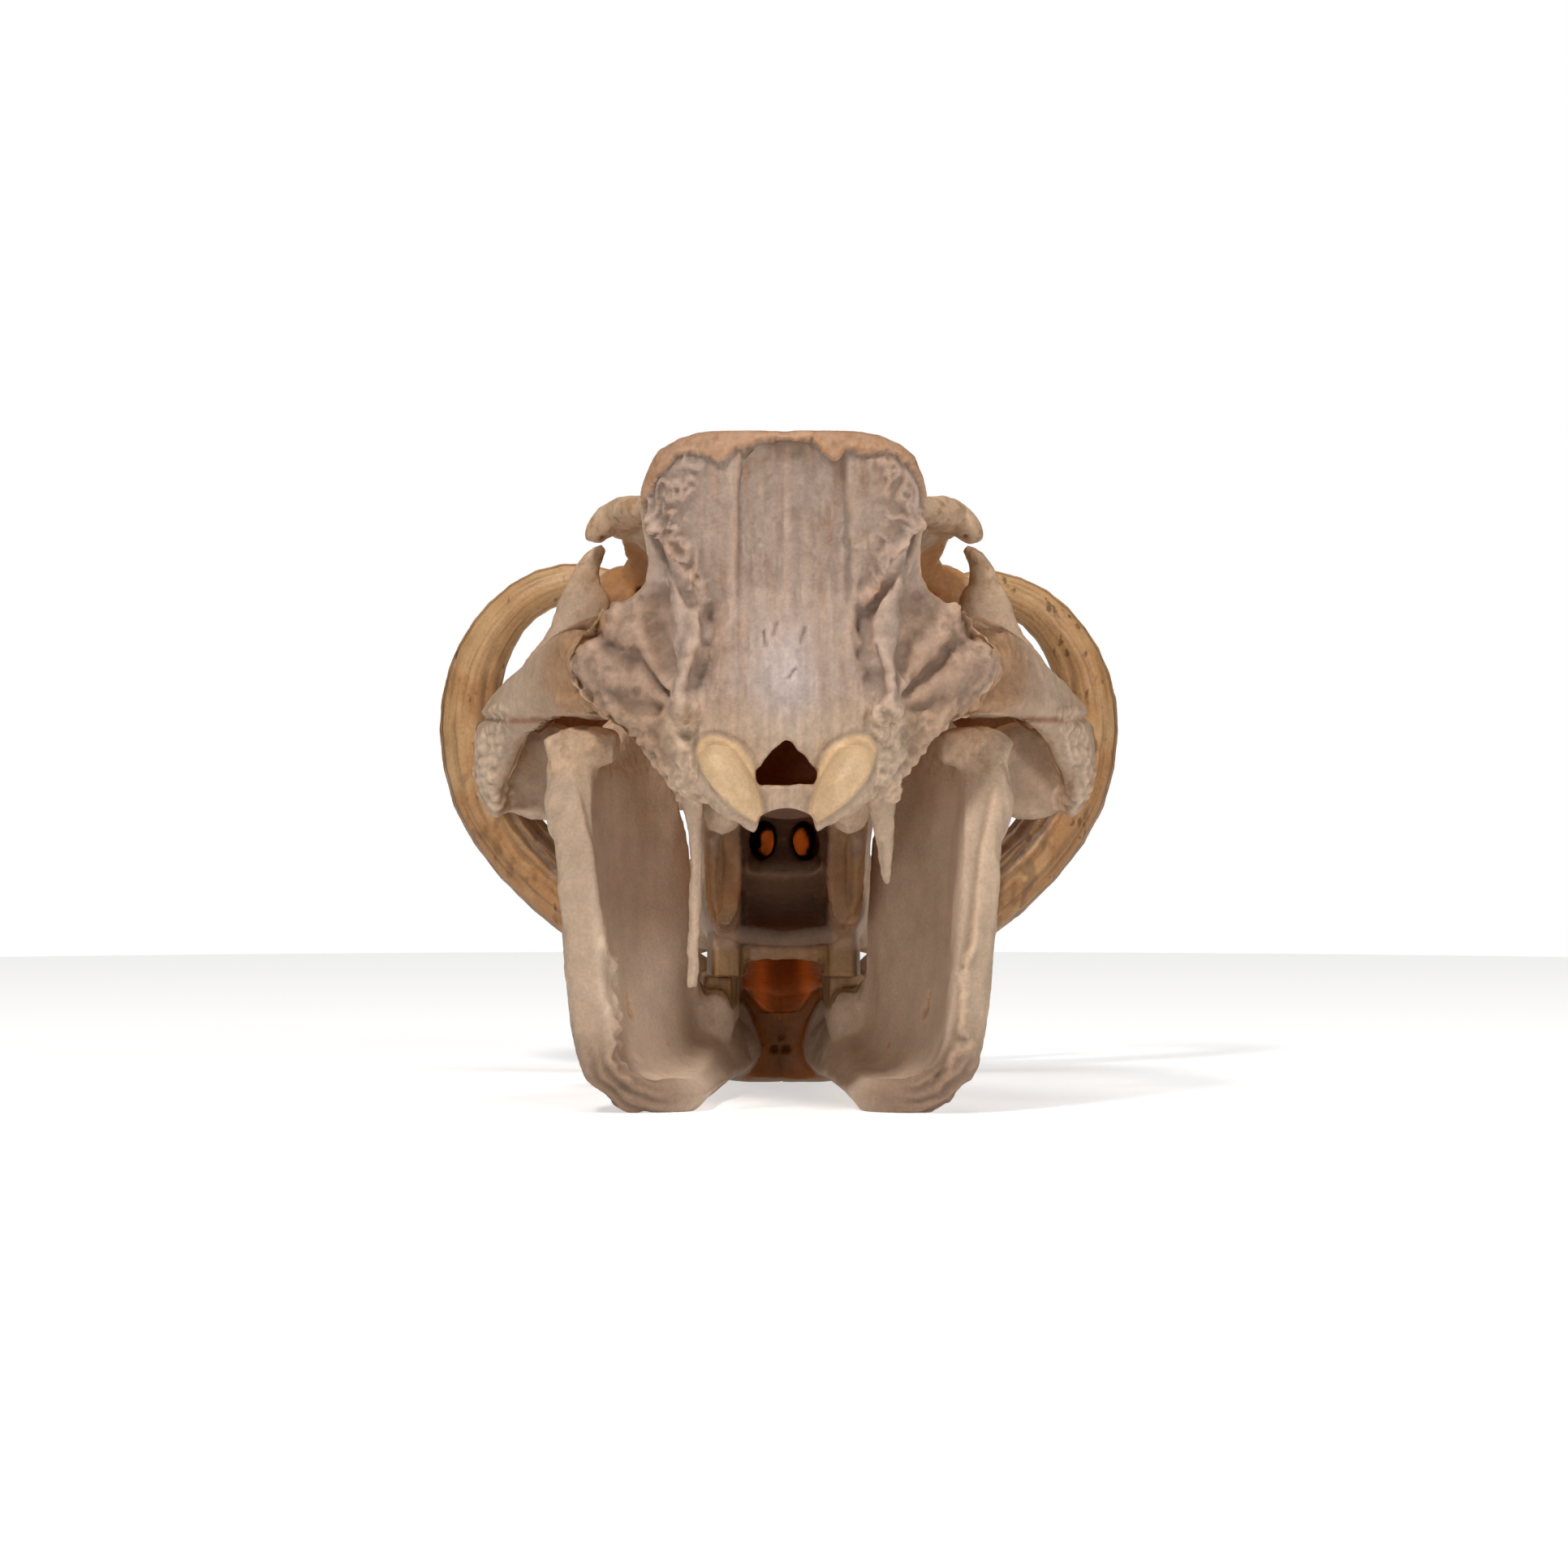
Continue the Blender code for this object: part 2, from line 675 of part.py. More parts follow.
def lower_incisors(group):
    """Small incisors that lean forward, the outer ones set back."""
    for side in SIDES:
        for number in range(LOWER_INCISORS_PER_SIDE):
            first_x = LOWER_INCISOR_FIRST_X + LOWER_INCISOR_STEP * number
            back = LOWER_INCISOR_SETBACK * number
            path = [(first_x * spread, y - back, z, a, b) for spread, y, z, a, b in LOWER_INCISOR]
            sweep(f"lower_incisor_{number}_{side}", path, group, side, steps=2, count=8)


def ribbon(y, row, side):
    """The outline of one section of the lower jaw: a bent band with round ends."""
    half = row[-1]
    top, upper, lower, bottom = np.reshape(row[:-1], (4, 2))
    line = []
    for i in range(RIBBON_STEPS):
        t = i / (RIBBON_STEPS - 1)
        s = 1 - t
        line.append(Vector(s ** 3 * top + 3 * s * s * t * upper + 3 * s * t * t * lower + t ** 3 * bottom))
    outer, inner = [], []
    for i, point in enumerate(line):
        along = (line[min(i + 1, RIBBON_STEPS - 1)] - line[max(i - 1, 0)]).normalized()
        normal = Vector((-along.y, along.x))
        outer.append(point + normal * half)
        inner.append(point - normal * half)
    top_cap = line[0] + (line[0] - line[1]).normalized() * half
    low_cap = line[-1] + (line[-1] - line[-2]).normalized() * half
    ring = [top_cap] + outer + [low_cap] + inner[::-1]
    return [(side * p.x, y, p.y) for p in ring]


def mandible_pieces(group):
    """Rami, condyles and the flared sockets of the lower tusks."""
    for side in SIDES:
        tag = "right" if side > 0 else "left"
        rings = [ribbon(row[0], row[1:], side) for row in smooth_stations(RAMUS, 3)]
        loft(f"ramus_{tag}", rings, group)
        sweep(f"jaw_condyle_{tag}", JAW_CONDYLE, group, side, across=(0, 1, 0))
        sweep(f"condyle_neck_{tag}", CONDYLE_NECK, group, side, across=(1, 0, 0))
        sweep(f"canine_flare_{tag}", CANINE_FLARE_LOWER, group, side)
    paired_ellipsoids(JAW_SWELLS, group)


def tusk(name, stations, group, side, swell=0.0):
    """A tusk, or with swell the room that its socket needs. The upper right one curls less high."""
    shift = side * UPPER_TUSK_SHIFT if stations is UPPER_TUSK else 0
    made = []
    for x, y, z, a, b in stations:
        if side > 0 and z > CURL_START:
            z = CURL_START + (z - CURL_START) * RIGHT_CURL
        made.append((x + shift, y, z, a + swell, b + swell))
    return sweep(name, made, group, side, steps=2, count=12, across=(0, 1, 0))


def cut_sockets(bone, stations, label):
    """Cut the room for a pair of tusks out of a bone."""
    group = new_group(f"{label}_sockets")
    for side in SIDES:
        cutter = tusk(f"{label}_socket_{side}", stations, group, side, TOUCH_GAP)
        cutter.hide_render = True
        cutter.display_type = "WIRE"
    combine(bone, group, "DIFFERENCE")


def turn_jaw(parts):
    """Set the lower jaw and its tusks askew, as they lie under the skull."""
    pivot = Vector((0, JAW_TURN_Y * MM, 0))
    turn = Matrix.Rotation(math.radians(JAW_TURN_DEGREES), 4, "Z")
    for part in parts:
        part.data.transform(Matrix.Translation(pivot) @ turn @ Matrix.Translation(-pivot))


def cut_floor(bone):
    """Cut small flats at floor level, which the skull rests on."""
    group = new_group("floor_cut")
    block("under_floor", *FLOOR_BLOCK, group)
    combine(bone, group, "DIFFERENCE")


def build_cranium(skull, material):
    """The upper skull, one solid with its teeth."""
    cranium = upright_loft("cranium", CORE, skull)
    pieces = new_group("cranium_pieces")
    cranium_pieces(pieces)
    combine(cranium, pieces, "UNION")
    hollows = new_group("cranium_hollows")
    cranium_hollows(hollows)
    combine(cranium, hollows, "DIFFERENCE")
    soften(cranium, CRANIUM_TRIANGLES)
    teeth = new_group("upper_teeth")
    root = OCCLUSAL_PLANE + TOOTH_ROOT
    tooth_row("upper_tooth", UPPER_ROW_START, UPPER_ROW_X, OCCLUSAL_PLANE, root, teeth)
    upper_incisors(teeth)
    thin_points(teeth)
    combine(cranium, teeth, "UNION")
    cut_sockets(cranium, UPPER_TUSK, "upper")
    cranium.data.materials.clear()
    cranium.data.materials.append(material)
    return cranium


def build_mandible(skull, material):
    """The lower jaw, one solid with its teeth."""
    mandible = upright_loft("mandible", SYMPHYSIS, skull)
    pieces = new_group("mandible_pieces")
    mandible_pieces(pieces)
    combine(mandible, pieces, "UNION")
    hollows = new_group("mandible_hollows")
    sweep("lingual_trough", LINGUAL_TROUGH, hollows)
    combine(mandible, hollows, "DIFFERENCE")
    soften(mandible, MANDIBLE_TRIANGLES)
    teeth = new_group("lower_teeth")
    top = OCCLUSAL_PLANE - TOOTH_GAP
    tooth_row("lower_tooth", LOWER_ROW_START, LOWER_ROW_X, top - TOOTH_ROOT, top, teeth)
    lower_incisors(teeth)
    combine(mandible, teeth, "UNION")
    cut_sockets(mandible, LOWER_TUSK, "lower")
    cut_floor(mandible)
    mandible.data.materials.clear()
    mandible.data.materials.append(material)
    return mandible


def build_tusks(skull, label, stations):
    """A pair of tusks, each a tooth of its own in its socket."""
    made = []
    for side in SIDES:
        tag = "right" if side > 0 else "left"
        name = f"{label}_tusk_{tag}"
        piece = tusk(name, stations, skull, side)
        piece.data.materials.append(bone_material(f"{name}_ivory", IVORY_COLOUR, 0.35))
        made.append(piece)
    return made


def centre_on_origin(parts):
    """Move the skull so that the origin lies under the middle of its box."""
    corners = np.array([part.matrix_world @ vert.co for part in parts for vert in part.data.vertices])
    middle = (corners.min(axis=0) + corners.max(axis=0)) / 2
    for part in parts:
        part.data.transform(Matrix.Translation((-middle[0], -middle[1], 0)))
        part.data.shade_smooth()


def main():
    """Build the skull."""
    clear_scene()
    skull = new_group("warthog_skull")
    cranium = build_cranium(skull, bone_material("cranium_bone", BONE_COLOUR, 0.6))
    mandible = build_mandible(skull, bone_material("mandible_bone", BONE_COLOUR, 0.6))
    upper_tusks = build_tusks(skull, "upper", UPPER_TUSK)
    lower_tusks = build_tusks(skull, "lower", LOWER_TUSK)
    turn_jaw([mandible] + lower_tusks)
    centre_on_origin([cranium, mandible] + upper_tusks + lower_tusks)


main()
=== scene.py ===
import math

import bmesh
import bpy
import numpy as np
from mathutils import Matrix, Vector
from mathutils.bvhtree import BVHTree
from mathutils.kdtree import KDTree


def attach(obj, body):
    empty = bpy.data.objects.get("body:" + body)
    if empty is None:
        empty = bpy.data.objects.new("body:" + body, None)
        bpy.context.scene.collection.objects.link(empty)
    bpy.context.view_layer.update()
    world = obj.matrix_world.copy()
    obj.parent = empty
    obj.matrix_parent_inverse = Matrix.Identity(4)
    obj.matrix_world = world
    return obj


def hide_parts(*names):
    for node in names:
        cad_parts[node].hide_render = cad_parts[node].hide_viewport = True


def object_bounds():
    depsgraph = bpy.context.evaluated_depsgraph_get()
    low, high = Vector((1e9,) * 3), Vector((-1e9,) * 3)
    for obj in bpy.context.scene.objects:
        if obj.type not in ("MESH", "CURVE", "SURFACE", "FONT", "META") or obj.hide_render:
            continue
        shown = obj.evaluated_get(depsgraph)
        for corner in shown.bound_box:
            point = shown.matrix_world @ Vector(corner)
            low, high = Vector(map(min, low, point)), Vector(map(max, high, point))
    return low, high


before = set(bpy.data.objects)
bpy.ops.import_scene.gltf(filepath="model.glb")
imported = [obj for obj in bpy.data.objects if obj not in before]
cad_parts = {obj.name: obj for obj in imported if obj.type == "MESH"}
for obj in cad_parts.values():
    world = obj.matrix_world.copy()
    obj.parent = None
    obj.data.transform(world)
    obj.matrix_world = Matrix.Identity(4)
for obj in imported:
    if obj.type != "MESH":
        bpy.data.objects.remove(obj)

# A warthog skull, life size, seen from behind on a pale floor.
# Shapes are worked out in millimetres: x to the right from the midline,
# y forward from the middle of the back of the head, z up from the floor.
SIZE_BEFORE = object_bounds()
MM = 0.001
MIDLINE_X = 0.8
BACK_Y = -168.9
ORIGIN = np.array((MIDLINE_X, BACK_Y, 0))
SEED = 27

# Photograph: the camera stands level with the middle of the head, 1.8 m behind it
IMAGE_PIXELS = 1932
FOCAL_PIXELS = 7200.0
SENSOR_WIDTH = 36.0
CAMERA_DISTANCE = 1800.0
CAMERA_HEIGHT = 120.0
CAMERA_X = -12.25
LEVEL_PIXEL = 900.0
AIM_PIXEL = 920.0

# Mesh: spacing of the points, and how often the facets are smoothed away
BONE_SPACING = 0.8
TUSK_SPACING = 0.6
CRANIUM_ROUNDS = 16
JAW_ROUNDS = 60
TUSK_ROUNDS = 60
SMOOTH_IN = 0.6
SMOOTH_OUT = -0.63
EDGE_KEEP = 0.04

# Colours, linear, and the least value of a colour
DARKEST = 0.004
BONE = (0.60, 0.425, 0.295)
PALE_BONE = (0.69, 0.53, 0.395)
GREY_BONE = (0.52, 0.385, 0.315)
# Painted bluish highlight in the middle of the back of the head
HIGHLIGHT_BONE = (0.66, 0.56, 0.53)
# Painted light on the jaw's inner faces
BOUNCE_LIGHT_BONE = (0.86, 0.68, 0.53)
SHADE_BONE = (0.36, 0.235, 0.16)
TAN_BONE = (0.50, 0.285, 0.165)
# Painted warm shade in hollows, beside the wings' borders and high on the jaw's inner faces
WARM_SHADE = (0.52, 0.27, 0.105)
# Painted deep shade in hollows, under the arches and in small holes
DEEP_SHADE = (0.30, 0.085, 0.016)
# Painted warm shade on the back face of the chin
CHIN_SHADE = (0.40, 0.125, 0.012)
# Painted shade in hollows: the way to the nose, the roof over it and the leaf's pit
HOLLOW_SHADE = (0.09, 0.03, 0.012)
# Painted shade on the lower part of the way to the nose
RAMP_SHADE = (0.14, 0.065, 0.033)
FOLD_BONE = (0.30, 0.21, 0.16)
HOOK_BONE = (0.70, 0.48, 0.31)
# Painted orange glow in the eye sockets
ORBIT_GLOW = (0.48, 0.20, 0.055)
SPECKLE = (0.38, 0.17, 0.06)
CARTILAGE = (0.76, 0.53, 0.31)
ENAMEL = (0.46, 0.28, 0.125)
# Dark stain on the teeth and in the seams, and painted shade round the chin's pits
STAIN_AND_SHADE = (0.20, 0.10, 0.04)
# Painted orange glow in the holes towards the back of the jaw
FORAMEN_GLOW = (0.62, 0.28, 0.05)
IVORY = (0.58, 0.30, 0.125)
PALE_IVORY = (0.74, 0.47, 0.24)
IVORY_STAIN = (0.10, 0.04, 0.015)
# Orange of the painted glowing spots at the far end of the nose
NOSE_GLOW = (0.70, 0.20, 0.03)
# Painted orange glow on the floor of the tongue's trough
BOWL_GLOW = (0.50, 0.19, 0.055)
# Orange of the painted glow, laid on as emission
LIT_BONE = (0.80, 0.14, 0.015)
LEAF_BONE = (0.23, 0.14, 0.095)

# Shade of small hollows: rounds of evening out, height in millimetres, share
CAVITY_SHADES = ((5, 0.25, 0.12), (45, 1.1, 0.21))

# Bone and ivory: textures in cells to the metre, their shades, and a fine grain in metres
SPECKLE_SCALE = 900
CLOUD_SCALE = 120
GRAIN_SCALE = 1500
PORE_SCALE = 700
PORE_REACH = 0.25
NOISE_RANGE = (0.3, 0.7)
SPECKLE_SHADES = (0.91, 1.08)
CLOUD_SHADES = (0.92, 1.07)
GRAIN_STRENGTH = 0.6
GRAIN_HEIGHT = 0.0003
BONE_ROUGHNESS = 0.62
IVORY_ROUGHNESS = 0.5
BONE_GLOSS = 0.22
SMOOTHEST = 0.16

# Floor: colour, the light it casts, how bright it looks, and its size in metres
FLOOR_COLOUR = (0.86, 0.86, 0.86)
FLOOR_GLOW = 0.12
FLOOR_SEEN = 0.55
FLOOR_RADIUS = 1.2
FLOOR_CORNERS = 96

# Studio: light of the room and how bright it looks, and lamps as name, place and size in metres,
# watts, colour
SKY_LIGHT = 0.04
SKY_SEEN = 1.0
LAMP_AIM = (0, -0.05, 0.11)
LAMPS = (
    ("key", (-0.45, -0.95, 1.25), 0.25, 10.6, (1, 0.96, 0.91)),
    ("right", (1.3, -1.0, 0.8), 0.45, 7.2, (1, 0.96, 0.92)),
    ("low", (-0.5, -2.3, 0.3), 0.5, 3.2, (1, 0.95, 0.9)),
    ("top", (0.0, 0.0, 6.0), 3.0, 95, (1, 1, 1)),
)

# Back of the head, lines as x z, but the edges of the sunk panel as height and x
PANEL_LEFT = ((150, -15.2), (164, -15.6), (190, -15.1), (206, -14.5))
PANEL_RIGHT = ((150, 19.5), (169, 20.5), (190, 19.0), (206, 17.8))
BAND_EDGE = (
    (-44, 190), (-40, 198), (-35, 203), (-30, 205.4), (-22.6, 203), (-14.8, 206.3), (-9.3, 208.4),
    (-2.3, 209.3), (0.8, 208.4), (6.3, 208.8), (10.9, 206), (14.8, 203), (19.5, 205.3), (30, 206),
    (36, 203.5), (41, 198), (44, 190),
)
BAND_STEP = 1.9
PANEL_DEPTH = 1.6

# Scars in the corners, and struts with hollows as x z, half width, half height, depth
CORNER = (
    (25, 203), (31, 205), (40, 199), (44.5, 190), (44.5, 184), (40, 177), (34, 168), (27, 158),
    (23.5, 161), (25.5, 170), (29.5, 180), (30.5, 190), (27, 197),
)
SCAR_RIDGE = {
    -1: ((-42, 185), (-37.4, 177.3), (-33.5, 171), (-29.6, 166.4), (-25.7, 160.2)),
    1: ((41, 184), (35.9, 177.3), (31.2, 170.3), (27.3, 164.8), (23.4, 160.2)),
}
SCAR_GROOVE = {
    -1: ((-41.5, 180), (-36.5, 171), (-32.5, 164), (-29, 158.5)),
    1: ((40.5, 179), (35, 170), (30.5, 163), (27, 158.5)),
}
STRUT = ((36, 173), (31, 162), (28, 153), (27.5, 146))
STRUT_FOOT = ((29.5, 147), (31.5, 139), (33, 132), (32, 127))
STRUT_HOLLOWS = (
    (24, 150, 2.8, 11, 2.8), (27.5, 137, 3.0, 6, 2.2), (38.5, 166, 3.2, 11, 2.4), (36.5, 141, 2.6, 7, 1.6),
)

# Fine cracks, and the knob at each wing's root
CRACK_DEPTH = 1.3
CRACK_WIDTH = 0.5
CRACKS = (
    ((-3.1, 153), (-4.2, 149)), ((-7, 150.5), (-6.4, 146)), ((5.6, 151.5), (4.4, 147)),
    ((2.6, 139), (0.8, 136.4)), ((-24.8, 147), (-24.2, 142)), ((28.6, 146), (28, 141)),
)
KNOB = (31.0, 125.5)

# Wings: border, the line that closes it, and ribs as angle and width in degrees and height
WING_EDGE = (
    (53, 157), (56, 150.5), (61, 147), (65, 142.5), (65, 138.5), (62.5, 133.5), (58, 129),
    (52, 124.5), (46, 119), (43, 113), (40, 108), (37, 104.5), (33, 100.5),
)
WING_CLOSE = ((20, 90), (15, 130), (20, 175), (44, 170))
WING_RIBS = (
    (20, 6, -1.2), (35, 7, 2.1), (48, 5, -2.1), (62, 8, 1.6), (79, 6, -1.0), (97, 9, 1.0),
)
BEAD_SPACING = 3.2
WING_STEP = 5.0

# Cheek arches, condyles and the notch between them
ARCH_EDGE_Z = 124.0
CHEEK_STEP = 3.5
CHEEK_HOLLOW = 4.0
BOSS_LINE = ((91.5, 124), (93.5, 118), (95.5, 112), (96.5, 106), (95, 101), (91, 98))
CONDYLE = (
    (20, 118.6), (25.4, 118.8), (28.2, 115), (27.4, 110), (24.8, 104.6), (20, 99), (13.5, 93.8),
    (8.2, 90.6), (6.6, 93.6), (7.8, 98.6), (9.0, 103.6), (9.6, 108), (11.2, 112), (14.4, 116),
)
NOTCH_HALF_WIDTH = 8.8
NOTCH_TOP = 96.0

# Painted glowing spots at the far end of the nose, and a faint painted glow in the brain opening
NOSE_SPOT_MIDDLE = 0.7
NOSE_SPOT_OUT = 5.4
NOSE_SPOT_Z = 81.2
NOSE_SPOT_HALF_WIDTH = 3.0
NOSE_SPOT_HALF_HEIGHT = 4.8
NOSE_LIGHT = 0.22
BRAINCASE_LIGHT = 0.015

# Forms joined to the copy of the cranium before it is finely meshed:
# x y z, half width across in the upright plane, half width fore and aft
SPUR_BLADE = (
    (66.5, 90, 152, 8.0, 3.4), (64.5, 91, 162, 8.4, 3.2), (64.8, 92, 167.3, 5.4, 3.0),
    (63.6, 92, 172.6, 3.9, 2.8), (62.0, 92.5, 175.4, 3.1, 2.6), (59.8, 93, 178.0, 2.3, 2.2),
    (58.4, 93, 179.2, 1.3, 1.5),
)
HOOK_END = (
    (51, 86, 190.6, 4.4, 6.0), (55, 85.5, 188.2, 4.8, 5.6), (58.6, 85, 185.4, 4.2, 4.8),
    (60.8, 85, 182.8, 3.3, 3.8), (61.3, 85, 180.9, 2.2, 2.6),
)
PROCESS_LEFT = (
    (29.4, 17, 104, 4.4, 4), (29.0, 18, 96, 3.4, 3.2), (28.4, 19.5, 88, 2.5, 2.6),
    (28.0, 21, 79, 2.1, 2.1), (28.3, 22.5, 66, 2.1, 2.0), (28.9, 24, 54, 1.6, 1.7),
    (29.2, 24.8, 44, 1.6, 1.7), (29.3, 25, 39.8, 1.3, 1.4),
)
PROCESS_RIGHT = (
    (29.6, 17, 103, 5.4, 4.6), (30.2, 19, 92, 3.6, 3.2), (31, 21, 80, 2.5, 2.4), (31.5, 22, 72.5, 1.2, 1.3),
)
LEAF = (
    (19.8, 90, 90, 6.0, 1.6), (19.8, 92, 80, 6.4, 1.6), (19.8, 94, 70, 6.4, 1.6),
    (20.3, 96, 62, 5.4, 1.5), (20.8, 97, 57, 3.4, 1.3),
)
LEAF_PIT = (18.5, 74.0)
LEAF_HOLLOW = 1.1
PALATE_EDGE = (
    (-17, 117, 53.6, 3.2, 2.4), (-8, 119, 52.4, 3.0, 2.4), (0, 120, 51.8, 3.0, 2.4),
    (8, 119, 52.4, 3.0, 2.4), (17, 117, 53.6, 3.2, 2.4),
)
PALATE_FOLD = (
    (-15, 130, 46.4, 3.2, 2.4), (-7, 131, 47.4, 3.4, 2.4), (7, 131, 47.4, 3.4, 2.4),
    (15, 130, 46.4, 3.2, 2.4),
)
PALATE_END = (
    (-14, 319, 37.6, 4.0, 3.0), (-8, 320, 40.0, 4.0, 3.0), (0, 321, 41.0, 4.0, 3.0),
    (8, 320, 40.0, 4.0, 3.0), (14, 319, 37.6, 4.0, 3.0),
)
CHANNEL_WALL = ((6.0, 196, 62, 8.0, 1.2), (6.0, 196, 72, 8.0, 1.2), (6.0, 196, 90, 8.0, 1.2))

# Lower jaw: the inner edge of its light rear border as height and x, its lower border as x z,
# how deep its trough is cut in the middle of its rear end, and how far that end's corners rise
RAMUS_EDGE = (
    (8, 46), (14, 52), (23.4, 55.5), (32.3, 54.6), (43.7, 55.0), (52.6, 58.3),
    (68.8, 59.0), (83.7, 60.8), (97.2, 63.9), (104, 66),
)
JAW_BORDER = ((60, 22), (56.5, 12), (50, 5), (42, 2), (34, 1.5), (26, 4))
BOWL_DEPTH = 4.5
SHOULDER_RISE = 5.5
JAW_MIDDLE = 0.6

# Cheek teeth: distance between the flutes
FLUTE_SPACING = 3.1

# Small holes: x y z, radius, depth
CRANIUM_HOLES = (
    (-48, 124, 165, 1.0, 2.2), (49, 124, 164, 1.0, 2.2),
    (-56.5, 79, 178, 0.8, 1.0), (57.5, 80, 181, 0.8, 1.0),
    (-24, 120, 181, 2.0, 3.0), (24, 121, 181, 2.0, 3.0),
    (-30, 186, 92, 4.0, 4.5), (30, 186, 92, 4.0, 4.5),
    (-6, 318, 66, 1.6, 2.5), (6, 318, 66, 1.6, 2.5),
    (-7.5, 330, 52, 2.0, 2.5), (7.5, 330, 52, 2.0, 2.5),
)
JAW_HOLES = (
    (-49.1, 67, 30.5, 2.6, 3.0), (-48.9, 66, 35.0, 1.4, 1.4),
    (44.9, 68, 31.0, 2.6, 3.0), (45.0, 67, 35.5, 1.4, 1.4),
    (-2.6, 187, 11.5, 1.3, 3.0), (1.4, 187, 11.5, 1.3, 3.0), (-0.6, 187, 15.5, 1.0, 1.2),
    (-34, 90, 20, 0.8, 1.2), (31.5, 90, 19.5, 0.8, 1.2),
    (-29, 232, 20, 2.0, 2.5), (29, 232, 20, 2.0, 2.5),
    (-27, 250, 17, 1.5, 2.0), (27, 250, 17, 1.5, 2.0),
)

# Tusks: the middle of the curl as x z, grooves as place round the section and width in degrees
# and depth, and a dark line as place and width in degrees
UPPER_CURL = (54.0, 113.6)
LOWER_CURL = (20.0, 100.0)
FLUTES = ((150, 16, 0.9), (-150, 12, 0.7), (-118, 10, 0.6), (118, 9, 0.5), (180, 9, 0.45))
CREST_LINE = (-22, 3.2)
TURN_MARKS = 60

# Openness: points tried, rays from each, how far they reach and start, and rounds of evening out
SAMPLES = 9000
RAYS = 40
RAY_REACH = 90 * MM
RAY_START = 2.2 * MM
SKY_ROUNDS = 12

# Random values for the number fields
LATTICE_SIDE = 64
draws = np.random.default_rng(SEED)
LATTICE = draws.uniform(-1, 1, (LATTICE_SIDE,) * 3).astype(np.float32)
JITTER = draws.uniform(0.15, 0.85, (LATTICE_SIDE,) * 3 + (3,)).astype(np.float32)


# Number fields
def smooth(value, low, high):
    """0 at low, 1 at high, with a soft rise between them."""
    t = np.clip((value - low) / (high - low), 0, 1)
    return t * t * (3 - 2 * t)


def within(value, start, full, fade, end):
    """1 from full to fade, falling softly to 0 at start and end."""
    return smooth(value, start, full) * smooth(value, end, fade)


def bump(distance, width):
    """1 at distance 0, falling softly to nothing."""
    return np.exp(-((distance / width) ** 2))


def noise(points, scale, shift=0.0):
    """Smooth random values from -1 to 1 that change over about one scale."""
    at = points / np.asarray(scale) + shift
    cell = np.floor(at).astype(np.int64)
    part = at - cell
    part = part * part * (3 - 2 * part)
    low = cell % LATTICE_SIDE
    high = (cell + 1) % LATTICE_SIDE
    total = 0
    for corner in np.ndindex(2, 2, 2):
        cells = [(low, high)[far][:, axis] for axis, far in enumerate(corner)]
        shares = [part[:, axis] if far else 1 - part[:, axis] for axis, far in enumerate(corner)]
        total = total + LATTICE[tuple(cells)] * (shares[0] * shares[1] * shares[2])
    return total


def rough(points, scale, octaves=3, shift=0.0):
    """Noise with finer noise on it."""
    total, weight = 0, 1.0
    for i in range(octaves):
        total = total + weight * noise(points, np.asarray(scale) / 2 ** i, shift + 7.3 * i)
        weight *= 0.55
    return total


def beads(points, spacing):
    """1 at the middle of each of many rounded grains, 0 between them."""
    at = points / spacing
    cell = np.floor(at).astype(np.int64)
    best = np.full(len(points), 9.0)
    for step in np.ndindex(3, 3, 3):
        other = cell + np.array(step) - 1
        key = other % LATTICE_SIDE
        middle = other + JITTER[key[:, 0], key[:, 1], key[:, 2]]
        best = np.minimum(best, ((at - middle) ** 2).sum(axis=1))
    return np.clip(1 - best / 0.5, 0, 1)


def wrinkles(points, scale, shift=0.0):
    """Winding folds: 1 on their crests, 0 between them."""
    scale = np.asarray(scale, float)
    warp = np.column_stack([noise(points, scale * 2.5, shift + 11 * k) for k in range(3)])
    folds = np.abs(rough(points + warp * scale, scale, 2, shift))
    return np.clip(1 - 2.6 * folds, 0, 1)


def pits(points, spacing, width):
    """1 in small scattered holes."""
    return smooth(beads(points, spacing), 1 - width, 1 - 0.3 * width)


def to_line(points, line):
    """Distance from each point to a line of straight pieces."""
    line = np.asarray(line, float)
    best = np.full(len(points), 1e9)
    for a, b in zip(line[:-1], line[1:]):
        along = b - a
        t = np.clip((points - a) @ along / (along @ along), 0, 1)
        best = np.minimum(best, np.linalg.norm(points - a - t[:, None] * along, axis=1))
    return best


def inside_outline(points, outline):
    """Distance to a closed outline, more than 0 inside it."""
    outline = np.asarray(outline, float)
    closed = np.vstack((outline, outline[:1]))
    inside = np.zeros(len(points), bool)
    for a, b in zip(closed[:-1], closed[1:]):
        crosses = (a[1] > points[:, 1]) != (b[1] > points[:, 1])
        rise = b[1] - a[1] if b[1] != a[1] else 1e-9
        at = a[0] + (points[:, 1] - a[1]) * (b[0] - a[0]) / rise
        inside ^= crosses & (points[:, 0] < at)
    distance = to_line(points, closed)
    return np.where(inside, distance, -distance)


def read_table(place, table):
    """The value that a table of rising places and their values gives at each place."""
    places, values = np.array(table, float).T
    return np.interp(place, places, values)


def mirrored(points):
    """Each point's distance from the midline, and its height."""
    return np.column_stack((np.abs(points[:, 0]), points[:, 2]))


# Meshes
def smoothed(points, edges, rounds, weight):
    """Points with the small facets smoothed away and the size kept."""
    a, b = edges.T
    count = np.bincount(np.concatenate((a, b)), minlength=len(points))
    for step in range(rounds * 2):
        pull = SMOOTH_OUT if step % 2 else SMOOTH_IN
        for axis in range(3):
            column = points[:, axis]
            total = np.bincount(a, column[b], len(points)) + np.bincount(b, column[a], len(points))
            points[:, axis] = column + pull * weight * (total / count - column)
    return points


